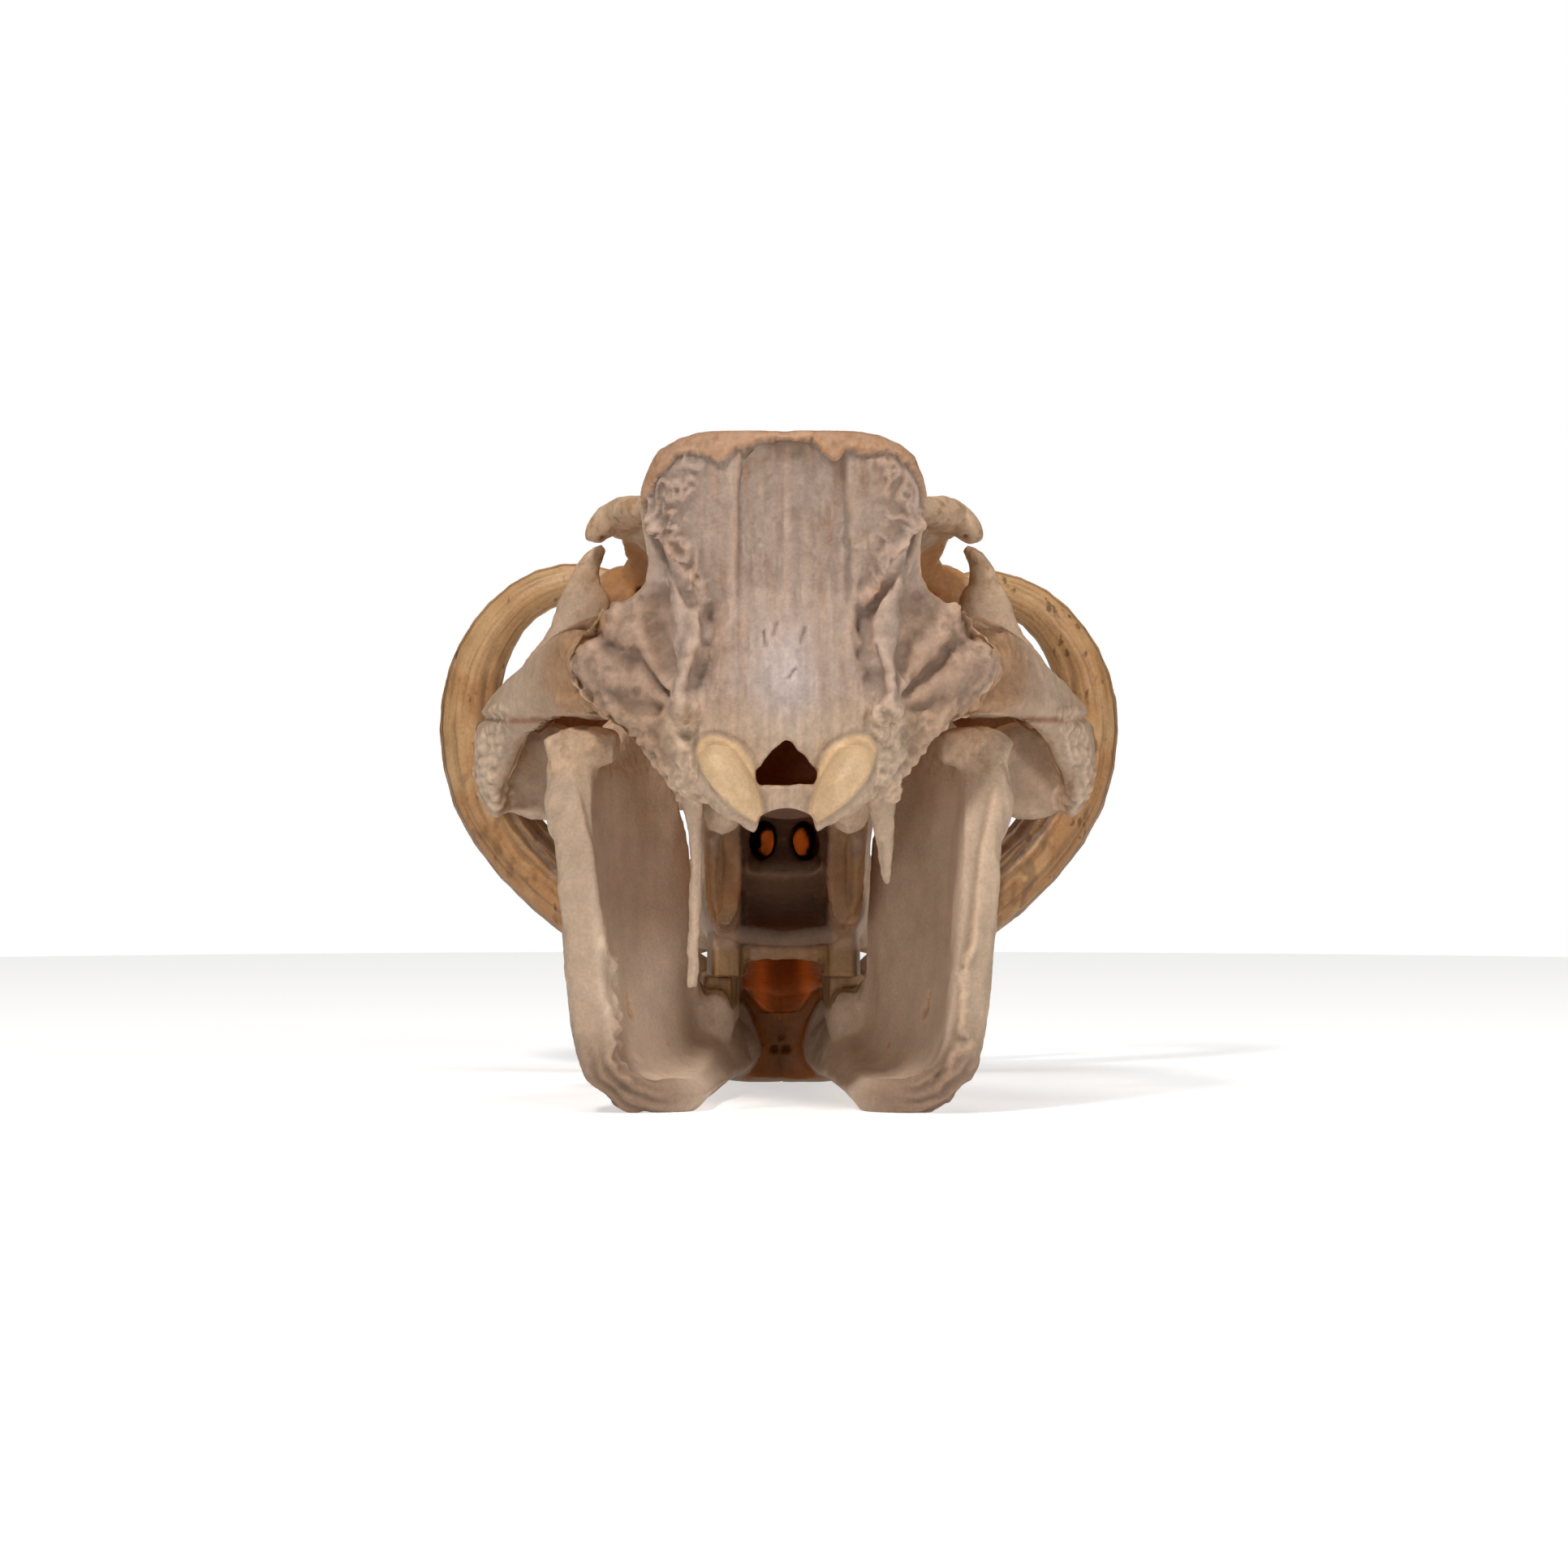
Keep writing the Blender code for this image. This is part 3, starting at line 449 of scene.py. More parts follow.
def bar(stations, side, count=16):
    """Points and faces of a closed bar through stations."""
    places = np.array([(side * row[0], row[1], row[2]) for row in stations], float)
    ahead = np.gradient(places, axis=0)
    across = np.column_stack((ahead[:, 2], np.zeros(len(places)), -ahead[:, 0]))
    across /= np.linalg.norm(across, axis=1)[:, None]
    turns = np.arange(count) * 2 * math.pi / count
    points, faces = [], []
    for place, level, row in zip(places, across, stations):
        for turn in turns:
            points.append(place + level * row[3] * math.cos(turn) + np.array((0, row[4] * math.sin(turn), 0)))
    for ring in range(len(places) - 1):
        for i in range(count):
            j = (i + 1) % count
            low, high = ring * count, (ring + 1) * count
            faces.append((low + i, low + j, high + j, high + i))
    faces.append(tuple(range(count)))
    faces.append(tuple(reversed(range((len(places) - 1) * count, len(places) * count))))
    return points, faces


def join_bars(mesh, bars):
    """Add closed bars to a mesh that is to be meshed again as one body."""
    work = bmesh.new()
    work.from_mesh(mesh)
    for points, faces in bars:
        made = [work.verts.new(Vector((point + ORIGIN) * MM)) for point in points]
        new_faces = [work.faces.new([made[i] for i in face]) for face in faces]
        bmesh.ops.recalc_face_normals(work, faces=new_faces)
    work.to_mesh(mesh)
    work.free()


def fine_copy(node, spacing, keep, rounds, bars=()):
    """A finely meshed copy of a node, its points in millimetres and its normals."""
    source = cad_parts[node]
    piece = bpy.data.objects.new(f"{node}_surface", source.data.copy())
    join_bars(piece.data, bars)
    bpy.context.scene.collection.objects.link(piece)
    fine = piece.modifiers.new("fine", "REMESH")
    fine.mode = "VOXEL"
    fine.voxel_size = spacing * MM
    ready = piece.evaluated_get(bpy.context.evaluated_depsgraph_get())
    mesh = bpy.data.meshes.new_from_object(ready)
    piece.modifiers.clear()
    piece.data = mesh
    mesh.name = piece.name
    points = read_points(mesh)
    points = smoothed(points, read_edges(mesh), rounds, 1 - keep(points))
    write_points(mesh, points)
    return piece, points, read_normals(mesh)


def read_points(mesh):
    """A mesh's points in the skull's own millimetres."""
    flat = np.zeros(len(mesh.vertices) * 3)
    mesh.vertices.foreach_get("co", flat)
    return flat.reshape(-1, 3) / MM - ORIGIN


def read_edges(mesh):
    """The pairs of neighbouring points of a mesh."""
    edges = np.zeros(len(mesh.edges) * 2, np.int64)
    mesh.edges.foreach_get("vertices", edges)
    return edges.reshape(-1, 2)


def write_points(mesh, points):
    """Put points in the skull's own millimetres back into a mesh, kept inside the frame's box."""
    world = (points + ORIGIN) * MM
    low, high = (np.array(corner) for corner in SIZE_BEFORE)
    edge = EDGE_KEEP * MM
    world = np.clip(world, low + edge * np.array((1, 1, 0)), high - edge)
    mesh.vertices.foreach_set("co", world.ravel())
    mesh.update()


def read_normals(mesh):
    """The direction that each point of a mesh faces."""
    flat = np.zeros(len(mesh.vertices) * 3)
    mesh.vertices.foreach_get("normal", flat)
    return flat.reshape(-1, 3)


def finish_piece(piece, node, points, tint, gloss, glow, material):
    """Put the worked points and colours into the piece and give it the node's place."""
    write_points(piece.data, points)
    colour = np.ones((len(points), 4))
    colour[:, :3] = np.clip(tint, DARKEST, 1)
    layer = piece.data.attributes.new("tint", "FLOAT_COLOR", "POINT")
    layer.data.foreach_set("color", colour.ravel())
    for name, values in (("gloss", gloss), ("glow", glow)):
        layer = piece.data.attributes.new(name, "FLOAT", "POINT")
        layer.data.foreach_set("value", np.clip(values, 0, 1))
    piece.data.materials.clear()
    piece.data.materials.append(material)
    piece.data.shade_smooth()
    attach(piece, "root")
    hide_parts(node)


# Openness: how much of the sky each point sees past the rest of the skull
def sky_directions(count):
    """Directions spread evenly over a ball."""
    steps = np.arange(count) + 0.5
    rise = 1 - 2 * steps / count
    turn = math.pi * (1 + math.sqrt(5)) * steps
    flat = np.sqrt(1 - rise * rise)
    return np.column_stack((flat * np.cos(turn), flat * np.sin(turn), rise))


def skull_tree():
    """All nodes of the frame as one search tree."""
    points, faces = [], []
    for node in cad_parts.values():
        start = len(points)
        points += [vert.co.copy() for vert in node.data.vertices]
        faces += [[start + i for i in face.vertices] for face in node.data.polygons]
    return BVHTree.FromPolygons(points, faces)


TREE = skull_tree()


def openness(points, normals):
    """For each point, the share of directions in front of it that meet no bone."""
    picks = np.linspace(0, len(points) - 1, SAMPLES).astype(int)
    world = (points[picks] + ORIGIN) * MM
    rays = sky_directions(RAYS)
    search = KDTree(len(picks))
    values = np.zeros(len(picks))
    for i, (place, facing) in enumerate(zip(world, normals[picks])):
        front = rays @ facing
        start = Vector(place + facing * RAY_START)
        total = 0.0
        for ray, share in zip(rays, front):
            if share > 0 and TREE.ray_cast(start, Vector(ray), RAY_REACH)[0] is None:
                total += share
        values[i] = total / front[front > 0].sum()
        search.insert(place, i)
    search.balance()
    result = np.zeros(len(points))
    world = (points + ORIGIN) * MM
    for i, place in enumerate(world):
        near = search.find_n(place, 6)
        weights = [1 / (found[2] + 2 * MM) for found in near]
        result[i] = sum(w * values[found[1]] for w, found in zip(weights, near)) / sum(weights)
    return result


def spread(values, edges, rounds):
    """Values evened out over neighbouring points."""
    a, b = edges.T
    count = np.bincount(np.concatenate((a, b)), minlength=len(values))
    for _ in range(rounds):
        total = np.bincount(a, values[b], len(values)) + np.bincount(b, values[a], len(values))
        values = total / count
    return values


# Colour
def mixed(tint, colour, share):
    """Colours moved towards one colour by a share at each point."""
    share = np.clip(share, 0, 1)[:, None]
    return tint * (1 - share) + np.array(colour) * share


def layered(tint, layers):
    """Colours with layers over them, each a colour and its share at each point."""
    for colour, share in layers:
        tint = mixed(tint, colour, share)
    return tint


def plain(colour, points):
    """One colour at every point."""
    return np.tile(np.array(colour), (len(points), 1))


def fill(node, inputs):
    """Set a node's inputs to values, or join them to sockets."""
    for name, value in inputs.items():
        if isinstance(value, bpy.types.NodeSocket):
            node.id_data.links.new(value, node.inputs[name])
        else:
            node.inputs[name].default_value = value


def add_node(tree, kind, inputs, output, operation=None):
    """Add a node with its inputs, and give one of its outputs."""
    node = tree.nodes.new(kind)
    if operation:
        node.operation = operation
    fill(node, inputs)
    return node.outputs[output]


def painted(tree, name, output):
    """One painted layer of a piece."""
    node = tree.nodes.new("ShaderNodeAttribute")
    node.attribute_name = name
    return node.outputs[output]


def shade_noise(tree, place, scale, detail, shades):
    """Noise as a factor between two shades, its scale in cells to the metre."""
    grains = {"Vector": place, "Scale": scale, "Detail": detail}
    span = dict(zip(("From Min", "From Max", "To Min", "To Max"), NOISE_RANGE + shades))
    span["Value"] = add_node(tree, "ShaderNodeTexNoise", grains, "Fac")
    return add_node(tree, "ShaderNodeMapRange", span, "Result")


def grain_bump(tree, place, pores):
    """The direction of a surface with fine grain, and pores as deep as their share says."""
    grain = add_node(tree, "ShaderNodeTexNoise", {"Vector": place, "Scale": GRAIN_SCALE, "Detail": 6}, "Fac")
    pit = add_node(tree, "ShaderNodeTexVoronoi", {"Vector": place, "Scale": PORE_SCALE}, "Distance")
    span = {"Value": pit, "From Max": PORE_REACH, "To Min": 1 - pores}
    depth = add_node(tree, "ShaderNodeMapRange", span, "Result")
    height = add_node(tree, "ShaderNodeMath", {0: grain, 1: depth}, "Value", "MULTIPLY")
    raised = {"Height": height, "Strength": GRAIN_STRENGTH, "Distance": GRAIN_HEIGHT}
    return add_node(tree, "ShaderNodeBump", raised, "Normal")


def bone_material(name, roughness, pores):
    """Dry bone or ivory: painted tint with fine speckle, grain and pores."""
    material = bpy.data.materials.new(name)
    material.use_nodes = True
    tree = material.node_tree
    place = add_node(tree, "ShaderNodeTexCoord", {}, "Object")
    tint = painted(tree, "tint", "Color")
    for scale, detail, shades in ((SPECKLE_SCALE, 4, SPECKLE_SHADES), (CLOUD_SCALE, 5, CLOUD_SHADES)):
        factor = shade_noise(tree, place, scale, detail, shades)
        tint = add_node(tree, "ShaderNodeVectorMath", {0: tint, "Scale": factor}, "Vector", "SCALE")
    dull = {"Value": painted(tree, "gloss", "Fac"), "To Min": roughness, "To Max": SMOOTHEST}
    fill(tree.nodes["Principled BSDF"], {
        "Base Color": tint,
        "Roughness": add_node(tree, "ShaderNodeMapRange", dull, "Result"),
        "Specular IOR Level": 0.35,
        "Subsurface Weight": 0.12,
        "Subsurface Radius": (1.0, 0.45, 0.2),
        "Subsurface Scale": 0.0025,
        # emission where the glow layer paints light
        "Emission Color": (*LIT_BONE, 1),
        "Emission Strength": painted(tree, "glow", "Fac"),
        "Normal": grain_bump(tree, place, pores),
    })
    return material


def hole_dents(points, holes):
    """How deep small holes go at each point, and where they are."""
    depth = np.zeros(len(points))
    where = np.zeros(len(points))
    for x, y, z, radius, deep in holes:
        nearest = points[np.argmin(((points - (x, y, z)) ** 2).sum(axis=1))]
        distance = np.linalg.norm(points - nearest, axis=1)
        depth += deep * np.exp(-((distance / radius) ** 4))
        where = np.maximum(where, bump(distance, radius * 1.1))
    return depth, where


# Cranium
def upper_teeth(points):
    """1 on the upper cheek teeth."""
    x, y, z = np.abs(points[:, 0]), points[:, 1], points[:, 2]
    inside = smooth(x, 10.5, 11.5) * within(y, 117, 119, 206, 208)
    return inside * smooth(z, 49, 47) * smooth(x, 29, 28)


def cranium_keep(points):
    """Where the smoothing of the facets is held back."""
    x, y, z = points.T
    opening = bump(np.hypot(x, (z - 110) * 0.8), 13) * smooth(y, 40, 20)
    side = np.abs(x)
    spur = smooth(z, 146, 154) * smooth(side, 52, 55) * within(y, 70, 80, 108, 118)
    process = smooth(z, 92, 84) * smooth(y, 34, 28)
    thin = np.maximum(0.93 * spur, 0.85 * process)
    return np.maximum(np.maximum(upper_teeth(points) * 0.8, opening * 0.5), thin)


def crest_band(points):
    """1 on the smooth lip along the top of the back of the head."""
    edge = read_table(points[:, 0], BAND_EDGE) + 1.3 * rough(points, (2.6, 4, 7), 3, 2.0)
    return smooth(points[:, 2] - edge, -0.5, 0.3)


def panel_relief(points, band):
    """The ground below the lip and the sunk panel in its middle."""
    x, z = points[:, 0], points[:, 2]
    wander = 0.6 * noise(points, 5.0)
    inside = smooth(x - read_table(z, PANEL_LEFT) + 0.3 * wander, -0.4, 0.4)
    inside = inside * smooth(read_table(z, PANEL_RIGHT) - x + wander, -0.9, 1.0)
    relief = -BAND_STEP * smooth(z, 170, 192) - PANEL_DEPTH * inside * smooth(z, 150, 170)
    relief += 0.7 * bump(x - 0.4 * noise(points, 12.0), 1.8) * smooth(z, 150, 165)
    return relief * (1 - band)


def scar_relief(points, corner):
    """Folded scars of the neck muscles in the corners and down the sides."""
    flat = points[:, (0, 2)]
    folds = wrinkles(points, (4.4, 8, 5.4), 4.0)
    relief = corner * (1.0 + 1.5 * (folds - 0.45))
    for side in (-1, 1):
        ridge = bump(to_line(flat, SCAR_RIDGE[side]) + 0.5 * noise(points, 3.0), 1.9)
        relief += 2.7 * ridge * (0.7 + 0.7 * folds)
        relief -= 2.6 * bump(to_line(flat, SCAR_GROOVE[side]), 1.5)
    return relief


def strut_relief(points, mirror):
    """The struts down to the knobs, with hollows beside them."""
    side, z = mirror.T
    relief = 1.7 * bump(to_line(mirror, STRUT), 2.0) * (1 + 0.3 * rough(points, 4.0, 2))
    relief += 2.2 * bump(to_line(mirror, STRUT_FOOT), 1.7) * (1 + 0.7 * rough(points, 2.6, 2))
    for at_x, at_z, across, high, deep in STRUT_HOLLOWS:
        hollow = bump(np.hypot((side - at_x) / across, (z - at_z) / high), 1.0)
        relief -= deep * hollow * (1 + 0.4 * rough(points, 4.0, 2, 3.0))
    away = np.hypot(side - KNOB[0], z - KNOB[1])
    return relief + bump(away, 4.4) * (2.4 + 2.0 * rough(points, 2.2, 3)) - 2.4 * bump(away, 1.5)


def middle_relief(points, mirror, band):
    """The swelling above the brain opening, with streaks, curls and lumps round it."""
    side, z = mirror.T
    central = smooth(side, 34, 24) * (1 - band)
    relief = 1.3 * bump(np.hypot(side, (z - 134) * 0.7), 13)
    relief += 0.3 * rough(points, (1.9, 8, 15), 3, 9.0) * central
    curls = wrinkles(points, (2.6, 6, 4.4), 21.0) * smooth(rough(points, 12.0, 2, 6.0), 0.0, 0.6)
    relief += 0.35 * curls * central * smooth(z, 158, 172)
    lumps = rough(points, (4.5, 6, 7), 3, 4.5)
    relief += 0.45 * lumps * smooth(side, 13, 19) * within(z, 122, 132, 160, 176)
    under = smooth(z, 126, 116) * smooth(inside_outline(mirror, CONDYLE), -0.5, -2.0)
    under = under * smooth(side, 20, 26) * smooth(z, 96, 101)
    return relief + 0.9 * under * (rough(points, 3.6, 3, 12.0) + 0.6 * wrinkles(points, 4.0, 2.0))


def occiput_relief(points, normals):
    """Relief of the back of the head in millimetres outward, and where its lip and corners are."""
    mirror = mirrored(points)
    side, z = mirror.T
    rear = smooth(-normals[:, 1], 0.0, 0.35) * smooth(points[:, 1], 45, 25)
    band = crest_band(points)
    corner = smooth(inside_outline(mirror, CORNER) + noise(points, 6.0), -1.5, 2.0) * (1 - band)
    relief = panel_relief(points, band) + scar_relief(points, corner) + strut_relief(points, mirror)
    relief += wing_relief(points, mirror) + middle_relief(points, mirror, band)
    for crack in CRACKS:
        relief -= CRACK_DEPTH * bump(to_line(points[:, (0, 2)], crack), CRACK_WIDTH)
    relief -= 0.6 * pits(points, 6.4, 0.22) * smooth(side, 32, 37) * smooth(z, 168, 158)
    return relief * rear, band * rear, corner * rear


def rounded(outline):
    """A closed outline with its corners cut off twice over."""
    line = np.asarray(outline, float)
    for _ in range(2):
        ahead = np.roll(line, -1, axis=0)
        line = np.stack((0.75 * line + 0.25 * ahead, 0.25 * line + 0.75 * ahead), axis=1).reshape(-1, 2)
    return line


def wing_relief(points, mirror):
    """Ribs and furrows that fan out over the wings at the sides of the back of the head."""
    side, z = mirror.T
    dx, dz = side - KNOB[0], z - KNOB[1]
    angle = np.degrees(np.arctan2(dx, dz)) + 5 * noise(points, 9.0)
    ribs = np.zeros(len(points))
    for middle, width, height in WING_RIBS:
        ribs += height * bump(angle - middle, width)
    on_wing = smooth(np.hypot(dx, dz), 5, 11) * smooth(side, 33, 37) * within(z, 96, 106, 158, 168)
    return on_wing * (ribs - 0.8 + 0.4 * rough(points, (3.4, 4, 3.4), 3, 1.0))


def cavities(relief, edges):
    """Light on small crests and shade in small hollows, as a factor for the colour."""
    shade = 1.0
    for rounds, height, share in CAVITY_SHADES:
        shade = shade + share * np.tanh((relief - spread(relief, edges, rounds)) / height)
    return shade


def rough_edges(points):
    """Where the wings' borders and the cheek bosses are beaded and rough, from 0 to 1."""
    y, mirror = points[:, 1], mirrored(points)
    wing = smooth(to_line(mirror, WING_EDGE), 3.8, 1.8) * smooth(y, 40, 30)
    boss = smooth(to_line(mirror, BOSS_LINE), 5.2, 3.4) * within(y, 55, 66, 104, 118)
    return wing, boss


def sutures(points, normals):
    """The wandering seams between the bones of the face and the roof, from 0 to 1."""
    x, y, z = points.T
    side = np.abs(x)
    up, out = smooth(normals[:, 2], 0.2, 0.5), smooth(np.abs(normals[:, 0]), 0.3, 0.6)
    wiggle = 1.1 * rough(points, 3.0, 3, 11.0)
    middle = bump(x + wiggle, 0.45) * up * smooth(y, 90, 110)
    across = bump(y - 150 - 0.9 * side + 1.6 * wiggle, 0.6) * up * smooth(side, 24, 20)
    nasal = bump(side - 15 - 0.02 * (y - 200) + wiggle, 0.45) * up * smooth(y, 165, 175)
    maxilla = bump(y - 292 + 0.6 * (z - 60) + 1.4 * wiggle, 0.6) * out
    cheek = bump(y - 128 - 0.5 * (z - 110) + 1.5 * wiggle, 0.6) * out * smooth(side, 30, 36)
    return np.clip(middle + across + nasal + maxilla + cheek, 0, 1)


def condyle_depth(points):
    """How far inside a condyle's outline each point is, less than 0 outside it."""
    return np.where(points[:, 1] < 14, inside_outline(mirrored(points), rounded(CONDYLE)), -9.0)


def tooth_lines(points):
    """The upright flutes of the cheek teeth, from -1 to 1."""
    along = points[:, 1] + 0.9 * noise(points, (9, 3.0, 14), 4.0)
    return np.cos(along * 2 * math.pi / FLUTE_SPACING) * 0.55 + noise(points, (1.0, 1.0, 9.0), 3.0) * 0.6


def cranium_relief(points, calm, teeth, depth_in, grains, rough_parts, seams):
    """Relief of the cranium apart from the back of the head, in millimetres outward."""
    wing, boss = rough_parts
    relief = calm * (1.5 * wing * (0.5 + 0.6 * grains) + 0.9 * boss * grains)
    relief += 0.4 * calm * np.maximum(wing, boss) * rough(points, 2.2, 2, 6.0)
    relief -= 0.5 * seams
    relief += 0.9 * smooth(depth_in, -0.3, 1.6) - 0.5 * bump(depth_in + 0.8, 0.8)
    relief += calm * (0.24 * rough(points, 3.0, 3, 8.0) + 0.4 * rough(points, 14.0, 2, 5.0))
    return relief + 0.3 * teeth * tooth_lines(points)


def cranium_bars():
    """The forms joined to the copy of the cranium."""
    pairs = (SPUR_BLADE, HOOK_END, CHANNEL_WALL, LEAF)
    bars = [bar(line, side) for line in pairs for side in (-1, 1)]
    bars += [bar(line, 1) for line in (PALATE_EDGE, PALATE_FOLD, PALATE_END)]
    return bars + [bar(PROCESS_LEFT, -1), bar(PROCESS_RIGHT, 1)]


def build_cranium(material):
    """The cranium with its relief and colours."""
    bars = cranium_bars()
    piece, points, normals = fine_copy("cranium", BONE_SPACING, cranium_keep, CRANIUM_ROUNDS, bars)
    edges = read_edges(piece.data)
    sky = spread(openness(points, normals), edges, SKY_ROUNDS)
    teeth = upper_teeth(points)
    depth_in = condyle_depth(points)
    condyle = smooth(depth_in, -0.4, 0.2)
    calm = np.clip(1 - condyle - teeth, 0, 1)
    rough_parts = rough_edges(points)
    grains = np.zeros(len(points))
    beaded = np.maximum(*rough_parts) > 0.01
    grains[beaded] = beads(points[beaded], BEAD_SPACING)
    seams = sutures(points, normals) * calm
    relief, band, corner = occiput_relief(points, normals)
    relief = relief * calm + cranium_relief(points, calm, teeth, depth_in, grains, rough_parts, seams)
    depth, holes = hole_dents(points, CRANIUM_HOLES)
    relief -= depth
    worked = cranium_pushes(points, normals, points + normals * relief[:, None])
    tint = cranium_tint(points, normals, sky, band, corner, holes)
    tint = layered(tint, (
        (PALE_BONE, 0.35 * rough_parts[1] * smooth(grains, 0.2, 0.8)),
        (STAIN_AND_SHADE, 0.6 * seams * smooth(sky, 0.2, 0.5)),
        (CARTILAGE, 0.95 * condyle),
        (ENAMEL, 0.9 * teeth),
        (STAIN_AND_SHADE, 0.7 * teeth * smooth(tooth_lines(points), 0.3, -0.8)),
    ))
    tint = tint * cavities(relief, edges)[:, None]
    tint, nose = nasal_tint(points, normals, tint)
    gloss = BONE_GLOSS + 0.4 * condyle + 0.45 * teeth
    # painted glow: the spots at the far end of the nose, and a faint glow in the brain opening
    glow = NOSE_LIGHT * nose + BRAINCASE_LIGHT * braincase(points, sky)
    finish_piece(piece, "cranium", worked, tint, gloss, glow, material)


def braincase(points, sky):
    """1 on the shaded walls inside the brain opening, where a faint glow is painted."""
    x, y, z = points.T
    inside = smooth(np.abs(x), 14, 11) * within(y, 10, 20, 60, 70) * smooth(z, 98, 100)
    return inside * smooth(z, 122, 118) * smooth(sky, 0.5, 0.25)


def nasal_tint(points, normals, tint):
    """Painted shade along the way through to the nose and under the roof over its back, and two painted
    glowing spots at its far end.
    """
    x, y, z = points.T
    side = np.abs(x)
    way = smooth(side, 15.5, 13.5) * within(y, 58, 80, 300, 330)
    # painted shade on the upper part of the way through to the nose
    tint = mixed(tint, HOLLOW_SHADE, 0.97 * way * within(z, 70, 78, 93, 98))
    # painted shade on the lower part of the way
    tint = mixed(tint, RAMP_SHADE, 0.95 * way * within(z, 48, 54, 70, 78))
    fold = smooth(side, 17, 15) * within(y, 112, 115, 122, 125) * within(z, 47, 49, 55.5, 58)
    tint = mixed(tint, FOLD_BONE, 0.9 * fold)
    ceiling = smooth(side, 14, 12) * within(y, 22, 32, 84, 96) * smooth(-normals[:, 2], 0.0, 0.4)
    # painted shade on the downward faces of the roof over the back of the way
    tint = mixed(tint, HOLLOW_SHADE, 0.9 * ceiling * within(z, 84, 88, 98, 101))
    # two painted glowing spots on the wall at the far end, in orange colour and in emission
    facing = smooth(-normals[:, 1], 0.3, 0.7) * within(y, 184, 192, 200, 206)
    across = (np.abs(x - NOSE_SPOT_MIDDLE) - NOSE_SPOT_OUT) / NOSE_SPOT_HALF_WIDTH
    away = np.hypot(across, (z - NOSE_SPOT_Z) / NOSE_SPOT_HALF_HEIGHT)
    spot = facing * smooth(away + 0.25 * noise(points, 2.2), 1.05, 0.8)
    return mixed(tint, NOSE_GLOW, spot), spot * (0.75 + 0.4 * noise(points, 3.0))


def cranium_pushes(points, normals, worked):
    """Step the arch back behind the wing and the cheek behind the arch, and cut the notch."""
    x, y, z = points.T
    side = np.abs(x)
    worked = worked.copy()
    rear = smooth(-normals[:, 1], -0.1, 0.3)
    below = smooth(z + 0.4 * noise(points, 4.0), ARCH_EDGE_Z + 0.5, ARCH_EDGE_Z - 0.6)
    cheek = below * smooth(side, 62, 70) * smooth(y, 125, 105) * smooth(z, 92, 98)
    dish = bump(np.hypot((side - 79) / 11, (z - 109) / 13), 1.0) * smooth(y, 125, 105)
    steps = WING_STEP * behind_wing(points) + CHEEK_STEP * cheek + CHEEK_HOLLOW * dish
    worked[:, 1] += steps * rear
    on_leaf = within(y, 84, 88, 99, 104) * rear * within(z, 54, 58, 88, 93)
    pit = bump(np.hypot((side - LEAF_PIT[0]) / 4.0, (z - LEAF_PIT[1]) / 8), 1.0)
    worked[:, 1] += on_leaf * (LEAF_HOLLOW * pit + 0.5 * rough(points, 3.0, 2, 8.0))
    worked[:, 2] += on_leaf * smooth(z, 64, 56) * (1.2 + 2.0 * noise(points, 2.4))
    nick = bump(z - ARCH_EDGE_Z, 1.3) * smooth(side, 88, 93) * smooth(y, 125, 110)
    worked[:, 0] -= 2.2 * nick * np.sign(x)
    arch = NOTCH_TOP - 3.0 * (x / NOTCH_HALF_WIDTH) ** 2
    notch = smooth(side, NOTCH_HALF_WIDTH + 1, NOTCH_HALF_WIDTH - 1) * smooth(y, 45, 30)
    worked[:, 2] += notch * np.maximum(arch - worked[:, 2], 0) * smooth(z, 101, 97)
    return worked


def behind_wing(points):
    """1 on the arch just outside the wing's border, fading away from it."""
    y, z = points[:, 1], points[:, 2]
    depth = inside_outline(mirrored(points), WING_EDGE + WING_CLOSE) + 0.7 * noise(points, 2.6)
    near = within(depth, -24, -4, -0.9, 0.1) * smooth(y, 75, 45)
    return near * smooth(np.abs(points[:, 0]), 31, 35) * within(z, 96, 104, 158, 172)


def shield_tint(points, rear, tint):
    """Grey and tan streaks on the back of the head, painted shade on its sunk panel and wings, and a painted
    bluish highlight in the middle.
    """
    x, z = points[:, 0], points[:, 2]
    side = np.abs(x)
    middle = smooth(side, 36, 22) * smooth(z, 122, 136)
    panel = within(x, -16, -14.5, 17, 20.5) * smooth(z, 150, 166)
    shade = smooth(rough(points, (9, 9, 14), 3, 31.0) + smooth(z, 176, 204) - 0.6, -0.3, 0.9)
    streak = rough(points, (2.2, 12, 18), 3, 9.0)
    mottle = rough(points, (7, 9, 9), 3, 17.0)
    wings = smooth(side, 34, 40) * within(z, 100, 108, 158, 166)
    return layered(tint, (
        (GREY_BONE, rear * 0.85 * smooth(z, 122, 134)),
        (GREY_BONE, rear * 0.9 * panel),
        (SHADE_BONE, rear * 0.75 * panel * shade),
        (TAN_BONE, rear * 0.38 * middle * smooth(streak, 0.0, 0.9)),
        (PALE_BONE, rear * 0.3 * middle * smooth(streak, -0.1, -0.9)),
        (SPECKLE, rear * 0.22 * middle * smooth(mottle, 0.3, 1.0)),
        # painted highlight on the swelling above the brain opening
        (HIGHLIGHT_BONE, rear * 0.85 * bump(np.hypot(x, (z - 137) * 0.62), 10)),
        (TAN_BONE, rear * 0.35 * wings),
        (SHADE_BONE, rear * 0.4 * wings),
        (PALE_BONE, rear * 0.5 * smooth(side, 40, 30) * smooth(z, 128, 118)),
    ))


